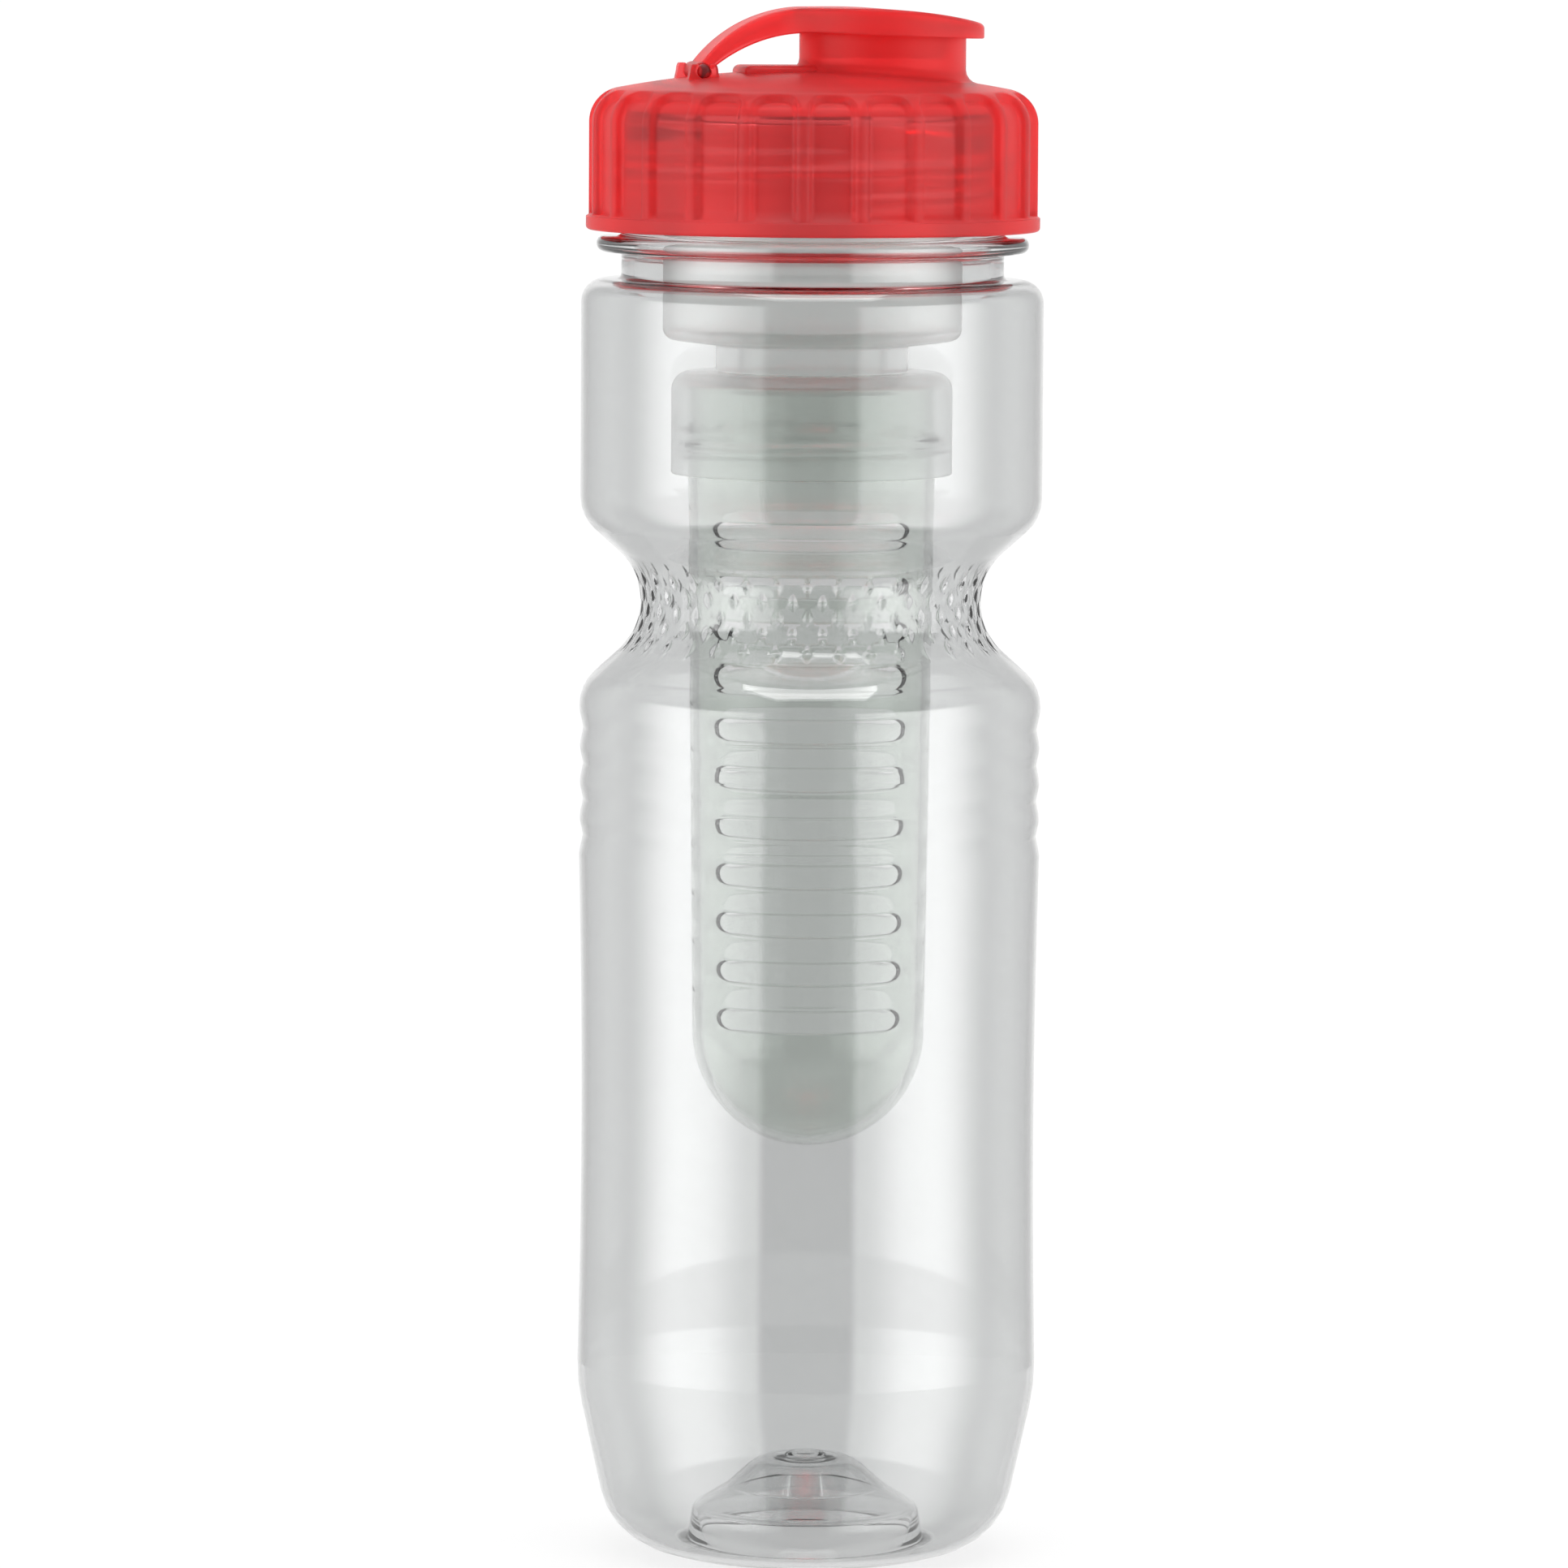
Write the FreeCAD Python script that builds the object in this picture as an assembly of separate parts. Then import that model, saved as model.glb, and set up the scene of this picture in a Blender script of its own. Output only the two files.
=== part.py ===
import FreeCAD, Part
import math
import os

# A clear blown bottle with a ribbed screw lid, a flip top that plugs the drinking spout, and an
# infuser basket that hangs from the lid. Sizes are millimetres and angles are degrees.
# The origin is the middle of the standing ring, +Z is up, and +X runs from the hinge to the spout.

Vector = FreeCAD.Vector
ORIGIN = Vector(0, 0, 0)
UP = Vector(0, 0, 1)
ACROSS = Vector(0, 1, 0)
FULL_TURN = 360.0

# Bottle: push-up base and heel
bottle_wall = 1.0
body_radius = 36.5
heel_height = 26.7
heel_angle = 12.4
heel_round = 12.0
heel_blend = 30.0
recess_radius = 18.0
recess_height = 6.2
recess_draft = 1.0
recess_round = 0.8
dome_foot_radius = 12.0
dome_foot_height = 9.3
dome_foot_round = 2.0
dome_height = 13.8
dome_flat_radius = 7.0
dome_round = 5.0
gate_radius = 2.4
gate_height = 0.6

# Bottle: label panel, ring grooves, waist and shoulder
panel_height = 84.6
panel_dip = 0.45
panel_round_share = 0.75
groove_count = 4
groove_pitch = 5.65
groove_depth = 0.6
groove_round = 1.2
crest_round = 4.5
waist_band = 4.0
waist_height = 26.8
waist_radius = 26.9
flank_angle = 48.0
waist_corner_round = 7.0
chest_height = 37.5
shoulder_round = 3.6
shoulder_blend = 0.8

# Bottle: neck finish
neck_radius = 30.2
neck_wall = 2.0
neck_height = 4.3
collar_radius = 34.1
collar_thickness = 2.4
collar_round = 1.1
finish_height = 19.3
mouth_round = 0.4

# Screw threads between bottle and lid
thread_depth = 1.3
thread_clearance = 0.6
thread_root_sink = 0.4
lid_pitch = 4.5
lid_thread_turns = 2.0
lid_thread_lift = 3.4
lid_thread_root = 2.6
lid_thread_crest = 1.4
bottle_thread_turns = 1.5
bottle_thread_root = 2.0
bottle_thread_crest = 1.0
thread_start_angle = -88.0

# Screw lid
gasket_thickness = 1.5
gasket_overlap = 0.6
gasket_clearance = 0.5
lid_wall = 2.1
rim_gap = 1.0
lip_height = 2.2
lip_overhang = 0.4
grip_rib_count = 24
grip_rib_height = 1.2
grip_panel_share = 0.745
grip_turn = 3.4
grip_panel_end_angle = 65.0
grip_panel_corner = 2.6
lid_corner_round = 5.5
crown_radius = 165.0
crown_height = 5.4
roof_thickness = 2.3
socket_depth = 7.5
socket_wall = 1.45
press_clearance = 0.05

# Drinking spout and the raised pad beside it
spout_offset = 10.95
spout_radius = 13.15
spout_wall = 1.65
spout_height = 6.1
pad_start = -12.0
pad_half_width = 7.5
pad_rise = 0.7

# Hinge clips on the lid
hinge_offset = -18.6
hinge_height = -0.2
trunnion_radius = 1.1
trunnion_clearance = 0.05
barrel_radius = 1.4
ear_thickness = 2.4
ear_radius = 2.2
ear_foot_half = 2.7
ear_top_rise = 1.15
ear_mouth_half = 0.9
ear_side_gap = 0.3
recess_floor_gap = 0.3
recess_reach = 3.0

# Flip top: strap, disc and plug
strap_half_width = 5.5
strap_bend_radius = 22.0
strap_flare_radius = 8.0
web_thickness = 1.7
skirt_thickness = 1.3
skirt_lap_near = 0.2
skirt_lap_far = 1.1
disc_overhang = 2.85
disc_lift = 3.7
crown_lead = 6.0
disc_crown_radius = 95.0
seat_gap = 0.05
seat_width = 1.95
plug_depth = 4.1
plug_fit_gap = 0.15
plug_taper = 1.05
plug_wall = 1.2
pocket_end_gap = 2.6

# Lid insert: the cup that plugs into the lid and carries the infuser
insert_radius = 23.6
insert_wall = 1.3
insert_height = 37.3
insert_floor = 1.5
insert_floor_cone = 1.1
insert_corner_round = 1.8
insert_top_gap = 0.7
insert_neck_radius = 15.2
insert_neck_height = 4.1
insert_bore_radius = 10.8
spigot_wall = 1.6
spigot_play = 0.1
snap_lip = 1.0
snap_lip_height = 1.2
snap_slot_width = 1.2
snap_slot_count = 4

# Infuser cap: the threaded collar that swivels on the insert
cap_wall = 1.3
cap_roof = 1.8
cap_height = 16.1
cap_corner_round = 2.8
infuser_pitch = 2.5
infuser_turns = 1.5
infuser_thread_depth = 0.9
infuser_thread_clearance = 0.5
infuser_thread_root = 1.1
infuser_thread_crest = 0.6
infuser_thread_lead = 2.0
rim_seat_gap = 0.1

# Infuser basket
basket_radius = 19.5
basket_tip_radius = 18.4
basket_wall = 1.4
basket_length = 121.0
slot_count = 11
slot_height = 3.9
slot_half_width = 15.0
slot_half_width_loss = 0.1
slot_first_drop = 23.1
slot_last_rise = 21.45
slot_turn = -9.0

# Heights worked out from the sizes above, from the ground up
panel_top = heel_height + panel_height
groove_top = panel_top + groove_count * groove_pitch
waist_low = groove_top + waist_band
waist_mid = waist_low + waist_height / 2
waist_high = waist_low + waist_height
shoulder_z = waist_high + chest_height
collar_z = shoulder_z + neck_height
collar_top = collar_z + collar_thickness
mouth_z = collar_top + finish_height
land_z = mouth_z + gasket_thickness
crown_z = land_z + crown_height
crown_centre_z = crown_z - crown_radius
rim_z = collar_top + rim_gap
spout_top = crown_z + spout_height
hinge_z = crown_z + hinge_height
disc_top = spout_top + disc_lift

# Radii worked out from the sizes above
neck_bore = neck_radius - neck_wall
lid_inner = neck_radius + thread_depth + thread_clearance
lid_radius = lid_inner + lid_wall + grip_rib_height
lip_radius = lid_radius + lip_overhang
gasket_inner = neck_bore - gasket_overlap
gasket_outer = lid_inner - gasket_clearance
socket_inner = insert_radius + press_clearance
socket_outer = socket_inner + socket_wall
spout_bore = spout_radius - spout_wall
disc_radius = spout_radius + disc_overhang
ear_inner = strap_half_width + ear_side_gap
ear_outer = ear_inner + ear_thickness
spigot_radius = insert_bore_radius + spigot_wall
cap_inner = basket_radius + infuser_thread_depth + infuser_thread_clearance
cap_radius = cap_inner + cap_wall

# Heights of the hanging infuser, from the lid down
insert_top = land_z - insert_top_gap
insert_base = insert_top - insert_height
cap_top = insert_base - insert_neck_height
cap_underside = cap_top - cap_roof
cap_base = cap_top - cap_height
basket_top = cap_underside - rim_seat_gap
basket_tip_z = basket_top - basket_length
basket_ball_z = basket_tip_z + basket_tip_radius
slot_pitch = (basket_length - slot_first_drop - slot_last_rise) / (slot_count - 1)
infuser_thread_z = cap_base + infuser_thread_lead


def flat(radius, height):
    """A point of a half-section, drawn in the plane of X and Z."""
    return Vector(radius, 0, height)


def rounded_edges(corners, inset=0.0):
    """Lines and tangent arcs through corners (radius, height, fillet), moved inset to the left."""
    points = [Vector(radius, height, 0) for radius, height, _ in corners]
    runs = [(end - start).normalize() for start, end in zip(points, points[1:])]
    lefts = [Vector(-run.y, run.x, 0) for run in runs]
    moved = [points[0] + lefts[0] * inset]
    for before, after, corner in zip(lefts, lefts[1:], points[1:]):
        moved.append(corner + (before + after) * (inset / (1 + before.dot(after))))
    moved.append(points[-1] + lefts[-1] * inset)

    edges = []
    reached = moved[0]
    used = 0.0
    for index in range(1, len(moved) - 1):
        before, after = runs[index - 1], runs[index]
        turn = before.x * after.y - before.y * after.x
        half_turn = math.acos(max(-1.0, min(1.0, before.dot(after)))) / 2
        fillet = corners[index][2] - math.copysign(inset, turn)
        corner = moved[index]
        leaving = corner
        if corners[index][2] > 0 and fillet > 0 and half_turn > 0:
            length_before = corner.distanceToPoint(moved[index - 1])
            length_after = corner.distanceToPoint(moved[index + 1])
            reach = min(fillet * math.tan(half_turn), 0.98 * (length_before - used), 0.8 * length_after)
            radius = reach / math.tan(half_turn)
            arriving = corner - before * reach
            leaving = corner + after * reach
            inward = (after - before).normalize()
            middle = corner + inward * (radius / math.cos(half_turn) - radius)
            add_line(edges, reached, arriving)
            edges.append(Part.Arc(*(flat(p.x, p.y) for p in (arriving, middle, leaving))).toShape())
            used = reach
        else:
            add_line(edges, reached, corner)
            used = 0.0
        reached = leaving
    add_line(edges, reached, moved[-1])
    return edges


def add_line(edges, start, end):
    """Append the line between two half-section points, unless they are the same point."""
    if start.distanceToPoint(end) > Part.Precision.confusion():
        edges.append(Part.LineSegment(flat(start.x, start.y), flat(end.x, end.y)).toShape())


def line(start, end):
    """A straight edge between two (x, z) pairs."""
    return Part.LineSegment(flat(*start), flat(*end)).toShape()


def arc(start, middle, end):
    """A circular edge through three (x, z) pairs."""
    return Part.Arc(flat(*start), flat(*middle), flat(*end)).toShape()


def chain(points):
    """Straight edges through (x, z) pairs."""
    return [line(start, end) for start, end in zip(points, points[1:])]


def section(edges):
    """The face that a closed run of edges bounds."""
    return Part.Face(Part.Wire(Part.__sortEdges__(edges)))


def turned(edges):
    """The solid swept by a half-section turned about the bottle's axis."""
    return section(edges).revolve(ORIGIN, UP, FULL_TURN)


def turned_outline(corners):
    """A turned solid whose closed half-section has the given (radius, height, fillet) corners."""
    first = corners[0]
    return turned(rounded_edges(list(corners) + [first]))


def tube(inner, outer, low, high):
    """A plain ring about the bottle's axis."""
    solid = Part.makeCylinder(outer, high - low, flat(0, low))
    return solid.cut(Part.makeCylinder(inner, high - low, flat(0, low)))


def thread(wall_radius, crest_radius, root, crest, pitch, turns, start_z, start_angle):
    """A helical ridge of trapezoid section, sunk a little into the wall that carries it."""
    outwards = math.copysign(1.0, crest_radius - wall_radius)
    sunk_radius = wall_radius - outwards * thread_root_sink
    slope = (root - crest) / 2 / abs(crest_radius - wall_radius)
    sunk_half = root / 2 + slope * thread_root_sink
    corners = [(sunk_radius, -sunk_half), (crest_radius, -crest / 2),
               (crest_radius, crest / 2), (sunk_radius, sunk_half)]
    profile = Part.Wire(chain(corners + corners[:1]))
    helix = Part.makeHelix(pitch, pitch * turns, wall_radius)
    sweep = Part.BRepOffsetAPI.MakePipeShell(Part.Wire(helix.Edges))
    sweep.setFrenetMode(True)
    sweep.add(profile)
    sweep.build()
    sweep.makeSolid()
    ridge = sweep.shape()
    ridge.rotate(ORIGIN, UP, start_angle)
    ridge.translate(flat(0, start_z))
    return ridge


def crown_height_at(radius, depth=0.0):
    """Height of the lid's domed top at a distance from the axis, depth below its surface."""
    return crown_centre_z + math.sqrt((crown_radius - depth) ** 2 - radius ** 2)


def shell_corners(neck):
    """Corners of the blown shell from the middle of the base up to the neck."""
    slope = math.tan(math.radians(heel_angle))
    heel_ground = body_radius - heel_height * slope
    panel_half = panel_height / 2
    panel_bow = panel_round_share * panel_half ** 2 / (2 * panel_dip)
    flank = math.radians(flank_angle)
    waist_point = body_radius - waist_height / 2 * math.tan(flank)
    waist_round = (waist_radius - waist_point) / (1 / math.cos(flank) - 1)
    corners = [
        (0, dome_height + gate_height, 0),
        (gate_radius, dome_height + gate_height, gate_height / 3),
        (gate_radius + gate_height, dome_height, gate_height / 3),
        (dome_flat_radius, dome_height, dome_round),
        (dome_foot_radius, dome_foot_height, dome_foot_round),
        (recess_radius - recess_draft, recess_height, recess_round),
        (recess_radius, 0, recess_round),
        (heel_ground, 0, heel_round),
        (body_radius, heel_height, heel_blend),
        (body_radius - 2 * panel_dip, heel_height + panel_half, panel_bow),
        (body_radius, panel_top, crest_round),
    ]
    for index in range(groove_count):
        valley = panel_top + groove_pitch * (index + 0.5)
        corners.append((body_radius - groove_depth, valley, groove_round))
        corners.append((body_radius, valley + groove_pitch / 2, crest_round))
    corners += [
        (body_radius, waist_low, waist_corner_round),
        (waist_point, waist_mid, waist_round),
        (body_radius, waist_high, waist_corner_round),
        (body_radius, shoulder_z, shoulder_round),
        (neck, shoulder_z, shoulder_blend),
    ]
    return corners


def make_bottle():
    """The blown bottle with its neck collar and outer thread."""
    outside = shell_corners(neck_radius) + [
        (neck_radius, collar_z, shoulder_blend),
        (collar_radius, collar_z, collar_round),
        (collar_radius, collar_top, collar_round),
        (neck_radius, collar_top, shoulder_blend),
        (neck_radius, mouth_z, mouth_round),
        (neck_bore, mouth_z, 0),
    ]
    inside = shell_corners(neck_bore + bottle_wall) + [(neck_bore + bottle_wall, mouth_z, 0)]
    base = line((0, dome_height + gate_height), (0, dome_height + gate_height + bottle_wall))
    shell = turned(rounded_edges(outside) + rounded_edges(inside, bottle_wall) + [base])
    thread_z = rim_z + lid_thread_lift + lid_pitch / 2
    ridge = thread(neck_radius, neck_radius + thread_depth, bottle_thread_root, bottle_thread_crest,
                   lid_pitch, bottle_thread_turns, thread_z, thread_start_angle)
    return shell.fuse(ridge)


def lid_corner_centre():
    """Centre of the arc that rounds the lid's wall into its crown."""
    radius = lid_radius - lid_corner_round
    height = crown_centre_z + math.sqrt((crown_radius - lid_corner_round) ** 2 - radius ** 2)
    return radius, height


def around(centre, radius, angle):
    """The (x, z) pair at an angle up from horizontal on a circle."""
    return (centre[0] + radius * math.cos(math.radians(angle)),
            centre[1] + radius * math.sin(math.radians(angle)))


def lid_block():
    """The lid's outside as a filled solid, before its grip panels and its inside are cut."""
    centre = lid_corner_centre()
    blend = math.degrees(math.atan2(centre[1] - crown_centre_z, centre[0]))
    crown_mid = (blend + 90) / 2
    wall_top = around(centre, lid_corner_round, 0)
    blend_end = around(centre, lid_corner_round, blend)
    lip_top = rim_z + lip_height
    edges = chain([(0, crown_z), (0, rim_z), (lip_radius, rim_z), (lip_radius, lip_top),
                   (lid_radius, lip_top), wall_top])
    edges.append(arc(wall_top, around(centre, lid_corner_round, blend / 2), blend_end))
    edges.append(arc(blend_end, around((0, crown_centre_z), crown_radius, crown_mid), (0, crown_z)))
    return turned(edges)


def grip_panels():
    """One cutter for each shallow panel between the lid's grip ribs, with a rounded upper end."""
    centre = lid_corner_centre()
    floor = lid_corner_round - grip_rib_height
    clear = lid_corner_round + grip_rib_height
    end = grip_panel_end_angle
    low = rim_z + lip_height
    inner_low, inner_high = around(centre, floor, 0), around(centre, floor, end)
    outer_low, outer_high = around(centre, clear, 0), around(centre, clear, end)
    edges = chain([outer_low, (outer_low[0], low), (inner_low[0], low), inner_low])
    edges.append(arc(inner_low, around(centre, floor, end / 2), inner_high))
    edges.append(line(inner_high, outer_high))
    edges.append(arc(outer_high, around(centre, clear, end / 2), outer_low))
    pitch_angle = FULL_TURN / grip_rib_count
    sweep_angle = pitch_angle * grip_panel_share
    cutter = section(edges).revolve(ORIGIN, UP, sweep_angle)
    cutter.rotate(ORIGIN, UP, -sweep_angle / 2)
    corners = [edge for edge in cutter.Edges if runs_along(edge, inner_high, outer_high)]
    cutter = cutter.makeFillet(grip_panel_corner, corners)
    panels = []
    for index in range(grip_rib_count):
        panel = cutter.copy()
        panel.rotate(ORIGIN, UP, grip_turn + pitch_angle * (index + 0.5))
        panels.append(panel)
    return panels


def runs_along(edge, start, end):
    """Whether an edge joins two points that lie at the given (radius, height) pairs."""
    found = sorted((math.hypot(v.X, v.Y), v.Z) for v in edge.Vertexes)
    wanted = sorted((start, end))
    return len(found) == 2 and all(math.dist(a, b) < press_clearance for a, b in zip(found, wanted))


def lid_cavity():
    """The space inside the lid: thread bore, gasket land and domed roof."""
    inner_crown = crown_radius - roof_thickness
    land_edge = (gasket_inner, crown_height_at(gasket_inner, roof_thickness))
    top = (0, crown_z - roof_thickness)
    middle = around((0, crown_centre_z), inner_crown,
                    (90 + math.degrees(math.acos(gasket_inner / inner_crown))) / 2)
    edges = chain([top, (0, rim_z), (lid_inner, rim_z), (lid_inner, land_z), (gasket_inner, land_z),
                   land_edge])
    edges.append(arc(land_edge, middle, top))
    return turned(edges)


def hinge_ear(side):
    """One snap clip for the flip top's trunnion, on the +Y or -Y side, before its seat is bored."""
    far = math.hypot(abs(hinge_offset) + ear_foot_half, ear_outer)
    foot_z = crown_height_at(far, roof_thickness / 2)
    start_y = min(side * ear_inner, side * ear_outer)
    top_z = hinge_z + ear_top_rise
    axis_start = Vector(hinge_offset, start_y, hinge_z)
    foot = section(chain([(hinge_offset - ear_foot_half, foot_z), (hinge_offset + ear_foot_half, foot_z),
                          (hinge_offset + ear_radius, hinge_z), (hinge_offset - ear_radius, hinge_z),
                          (hinge_offset - ear_foot_half, foot_z)]))
    foot.translate(ACROSS * start_y)
    ear = foot.extrude(ACROSS * ear_thickness)
    ear = ear.fuse(Part.makeCylinder(ear_radius, ear_thickness, axis_start, ACROSS))
    mouth = Part.makeBox(2 * ear_mouth_half, ear_thickness, ear_radius,
                         Vector(hinge_offset - ear_mouth_half, start_y, hinge_z))
    above = Part.makeBox(2 * ear_radius, ear_thickness, ear_radius,
                         Vector(hinge_offset - ear_radius, start_y, top_z))
    return ear.cut([mouth, above])


def make_lid():
    """The screw lid with its spout, raised pad, hinge clips, insert socket and inner thread."""
    roof_low = crown_height_at(spout_offset + spout_radius, roof_thickness)
    spout = Part.makeCylinder(spout_radius, spout_top - roof_low, flat(spout_offset, roof_low))
    pad = Part.makeBox(spout_offset - pad_start, 2 * pad_half_width, crown_z + pad_rise - roof_low,
                       Vector(pad_start, -pad_half_width, roof_low))
    bore_low = roof_low - roof_thickness
    bore = Part.makeCylinder(spout_bore, spout_top - bore_low, flat(spout_offset, bore_low))
    floor_z = hinge_z - barrel_radius - recess_floor_gap
    recess = Part.makeBox(pad_start - hinge_offset + recess_reach, 2 * ear_inner,
                          crown_z + pad_rise - floor_z,
                          Vector(hinge_offset - recess_reach, -ear_inner, floor_z))
    trunnion_seat = Part.makeCylinder(trunnion_radius + trunnion_clearance, 2 * ear_outer,
                                      Vector(hinge_offset, -ear_outer, hinge_z), ACROSS)
    socket_top = crown_height_at(socket_outer, roof_thickness / 2)
    socket = tube(socket_inner, socket_outer, land_z - socket_depth, socket_top)
    ridge = thread(lid_inner, lid_inner - thread_depth, lid_thread_root, lid_thread_crest,
                   lid_pitch, lid_thread_turns, rim_z + lid_thread_lift, thread_start_angle)
    cavity = lid_cavity()
    lid = lid_block().cut(cavity)
    lid = lid.fuse(spout.fuse(pad).cut(cavity)).cut([bore, recess])
    lid = lid.fuse([hinge_ear(1), hinge_ear(-1), socket, ridge]).cut(trunnion_seat)
    return lid.cut(grip_panels())


def make_gasket():
    """The flat sealing washer between the lid and the bottle's mouth."""
    return tube(gasket_inner, gasket_outer, mouth_z, land_z)


def flip_plan(inset):
    """The flip top's outline from above, strap and disc, drawn inset from its edge."""
    half = strap_half_width - inset
    disc = disc_radius - inset
    flare = strap_flare_radius + inset
    flare_y = strap_half_width + strap_flare_radius
    flare_x = spout_offset - math.sqrt((disc_radius + strap_flare_radius) ** 2 - flare_y ** 2)
    share = disc / (disc + flare)
    joint = (spout_offset + (flare_x - spout_offset) * share, flare_y * share)
    lean = math.atan2(spout_offset - flare_x, flare_y) / 2
    waist = (flare_x + flare * math.sin(lean), flare_y - flare * math.cos(lean))
    tail = hinge_offset - barrel_radius
    tip = (spout_offset + disc, 0)

    def edge(kind, *pairs):
        return kind(*(Vector(x, y, 0) for x, y in pairs)).toShape()

    def mirrored(pair):
        return pair[0], -pair[1]

    edges = [edge(Part.LineSegment, (tail, -half), (tail, half))]
    for place in (lambda pair: pair, mirrored):
        edges.append(edge(Part.LineSegment, place((tail, half)), place((flare_x, half))))
        edges.append(edge(Part.Arc, place((flare_x, half)), place(waist), place(joint)))
        crest = (spout_offset, disc)
        edges.append(edge(Part.Arc, place(joint), place(crest), tip))
    outline = section(edges)
    outline.translate(UP * crown_z)
    return outline.extrude(UP * (disc_top - crown_z + web_thickness))


def flip_side():
    """Side view of the flip top: its whole depth, and the hollow under its web, both across the strap."""
    bend_z = disc_top - strap_bend_radius
    middle_radius = strap_bend_radius - web_thickness / 2
    bend_x = hinge_offset + math.sqrt(middle_radius ** 2 - (hinge_z - bend_z) ** 2)
    hinge_angle = math.degrees(math.atan2(hinge_z - bend_z, hinge_offset - bend_x))
    bend_mid = (90 + hinge_angle) / 2
    crown_x = spout_offset - crown_lead
    crown_middle_z = disc_top - disc_crown_radius
    tip_x = spout_offset + disc_radius
    web_radius = strap_bend_radius - web_thickness
    bend = (bend_x, bend_z)
    crown = (crown_x, crown_middle_z)

    def crown_arc(radius):
        end_angle = math.degrees(math.acos((tip_x - crown_x) / radius))
        return arc((crown_x, crown_middle_z + radius), around(crown, radius, (90 + end_angle) / 2),
                   around(crown, radius, end_angle))

    def top_edges(drop):
        radius = strap_bend_radius - drop
        strap = [around(bend, radius, angle) for angle in (hinge_angle, bend_mid, 90)]
        return [arc(*strap),
                line((bend_x, disc_top - drop), (crown_x, disc_top - drop)),
                crown_arc(disc_crown_radius - drop)]

    near_z = spout_top - skirt_lap_near
    far_z = spout_top - skirt_lap_far
    tail = around(bend, web_radius, hinge_angle)
    run = bend_x - tail[0]
    rail_z = (near_z ** 2 - tail[1] ** 2 - run ** 2) / (2 * (near_z - tail[1]))
    rail_radius = near_z - rail_z
    rail_tail_angle = math.degrees(math.atan2(tail[1] - rail_z, -run))
    rail_middle = around((bend_x, rail_z), rail_radius, (90 + rail_tail_angle) / 2)
    tip_top = around(crown, disc_crown_radius, math.degrees(math.acos((tip_x - crown_x) / disc_crown_radius)))
    whole = top_edges(0) + [
        line(tip_top, (tip_x, far_z)),
        line((tip_x, far_z), (bend_x, near_z)),
        arc((bend_x, near_z), rail_middle, tail),
        line(tail, around(bend, strap_bend_radius, hinge_angle)),
    ]
    hollow_radius = disc_crown_radius - web_thickness
    tip_under = around(crown, hollow_radius, math.degrees(math.acos((tip_x - crown_x) / hollow_radius)))
    hollow = top_edges(web_thickness) + chain([tip_under, (tip_x, crown_z), (tail[0], crown_z), tail])
    return [across(edges) for edges in (whole, hollow)]


def across(edges):
    """A side view extruded to both sides of the strap, wider than the disc."""
    face = section(edges)
    face.translate(ACROSS * -disc_radius)
    return face.extrude(ACROSS * 2 * disc_radius)


def make_flip_cap():
    """The flip top in one moulding: hinge bar, arched strap, skirted disc and spout plug."""
    whole, hollow = flip_side()
    seat_z = spout_top + seat_gap
    plug_top = spout_bore - plug_fit_gap
    plug_tip = plug_top - plug_taper
    plug_low = spout_top - plug_depth
    seat_radius = plug_top + seat_width
    core = Part.makeCylinder(seat_radius, disc_top - crown_z, flat(spout_offset, crown_z))
    rim_room = Part.makeCylinder(disc_radius - skirt_thickness, seat_z - crown_z, flat(spout_offset, crown_z))
    pocket_start = hinge_offset + pocket_end_gap
    strap_end = Part.makeBox(pocket_start - hinge_offset + barrel_radius, 2 * disc_radius, disc_top - crown_z,
                             Vector(hinge_offset - barrel_radius, -disc_radius, crown_z))
    pocket = hollow.common(flip_plan(skirt_thickness)).cut([core, strap_end])
    plug = Part.makeCone(plug_tip, plug_top, seat_z - plug_low, flat(spout_offset, plug_low))
    plug = plug.fuse(Part.makeCylinder(plug_top, web_thickness, flat(spout_offset, seat_z)))
    inside = Part.makeCylinder(plug_tip - plug_wall, disc_top - crown_z, flat(spout_offset, crown_z))
    inside = inside.common(hollow)
    barrel = Part.makeCylinder(barrel_radius, 2 * strap_half_width,
                               Vector(hinge_offset, -strap_half_width, hinge_z), ACROSS)
    trunnion = Part.makeCylinder(trunnion_radius, 2 * ear_outer,
                                 Vector(hinge_offset, -ear_outer, hinge_z), ACROSS)
    cap = whole.common(flip_plan(0)).cut([pocket, rim_room])
    return cap.fuse([plug, barrel, trunnion]).cut(inside)


def make_insert():
    """The cup that presses into the lid, with the slotted snap neck that carries the infuser cap."""
    lip_top = cap_underside - spigot_play
    lip_low = lip_top - snap_lip_height
    wall_inner = insert_radius - insert_wall
    floor_z = insert_base + insert_floor
    insert = turned_outline([
        (insert_bore_radius, floor_z, 0),
        (insert_bore_radius, lip_low, 0),
        (spigot_radius, lip_low, 0),
        (spigot_radius + snap_lip, lip_top, 0),
        (spigot_radius, lip_top, 0),
        (spigot_radius, cap_top + seat_gap, 0),
        (insert_neck_radius, cap_top + seat_gap, 0),
        (insert_neck_radius, insert_base, 0),
        (insert_radius, insert_base + insert_floor_cone, insert_corner_round),
        (insert_radius, insert_top, 0),
        (wall_inner, insert_top, 0),
        (wall_inner, floor_z + insert_floor_cone, 0),
    ])
    slots = []
    for index in range(snap_slot_count):
        slot = Part.makeBox(insert_neck_radius, snap_slot_width, cap_top - lip_low,
                            Vector(0, -snap_slot_width / 2, lip_low))
        slot.rotate(ORIGIN, UP, FULL_TURN * index / snap_slot_count)
        slots.append(slot)
    return insert.cut(slots)


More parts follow.
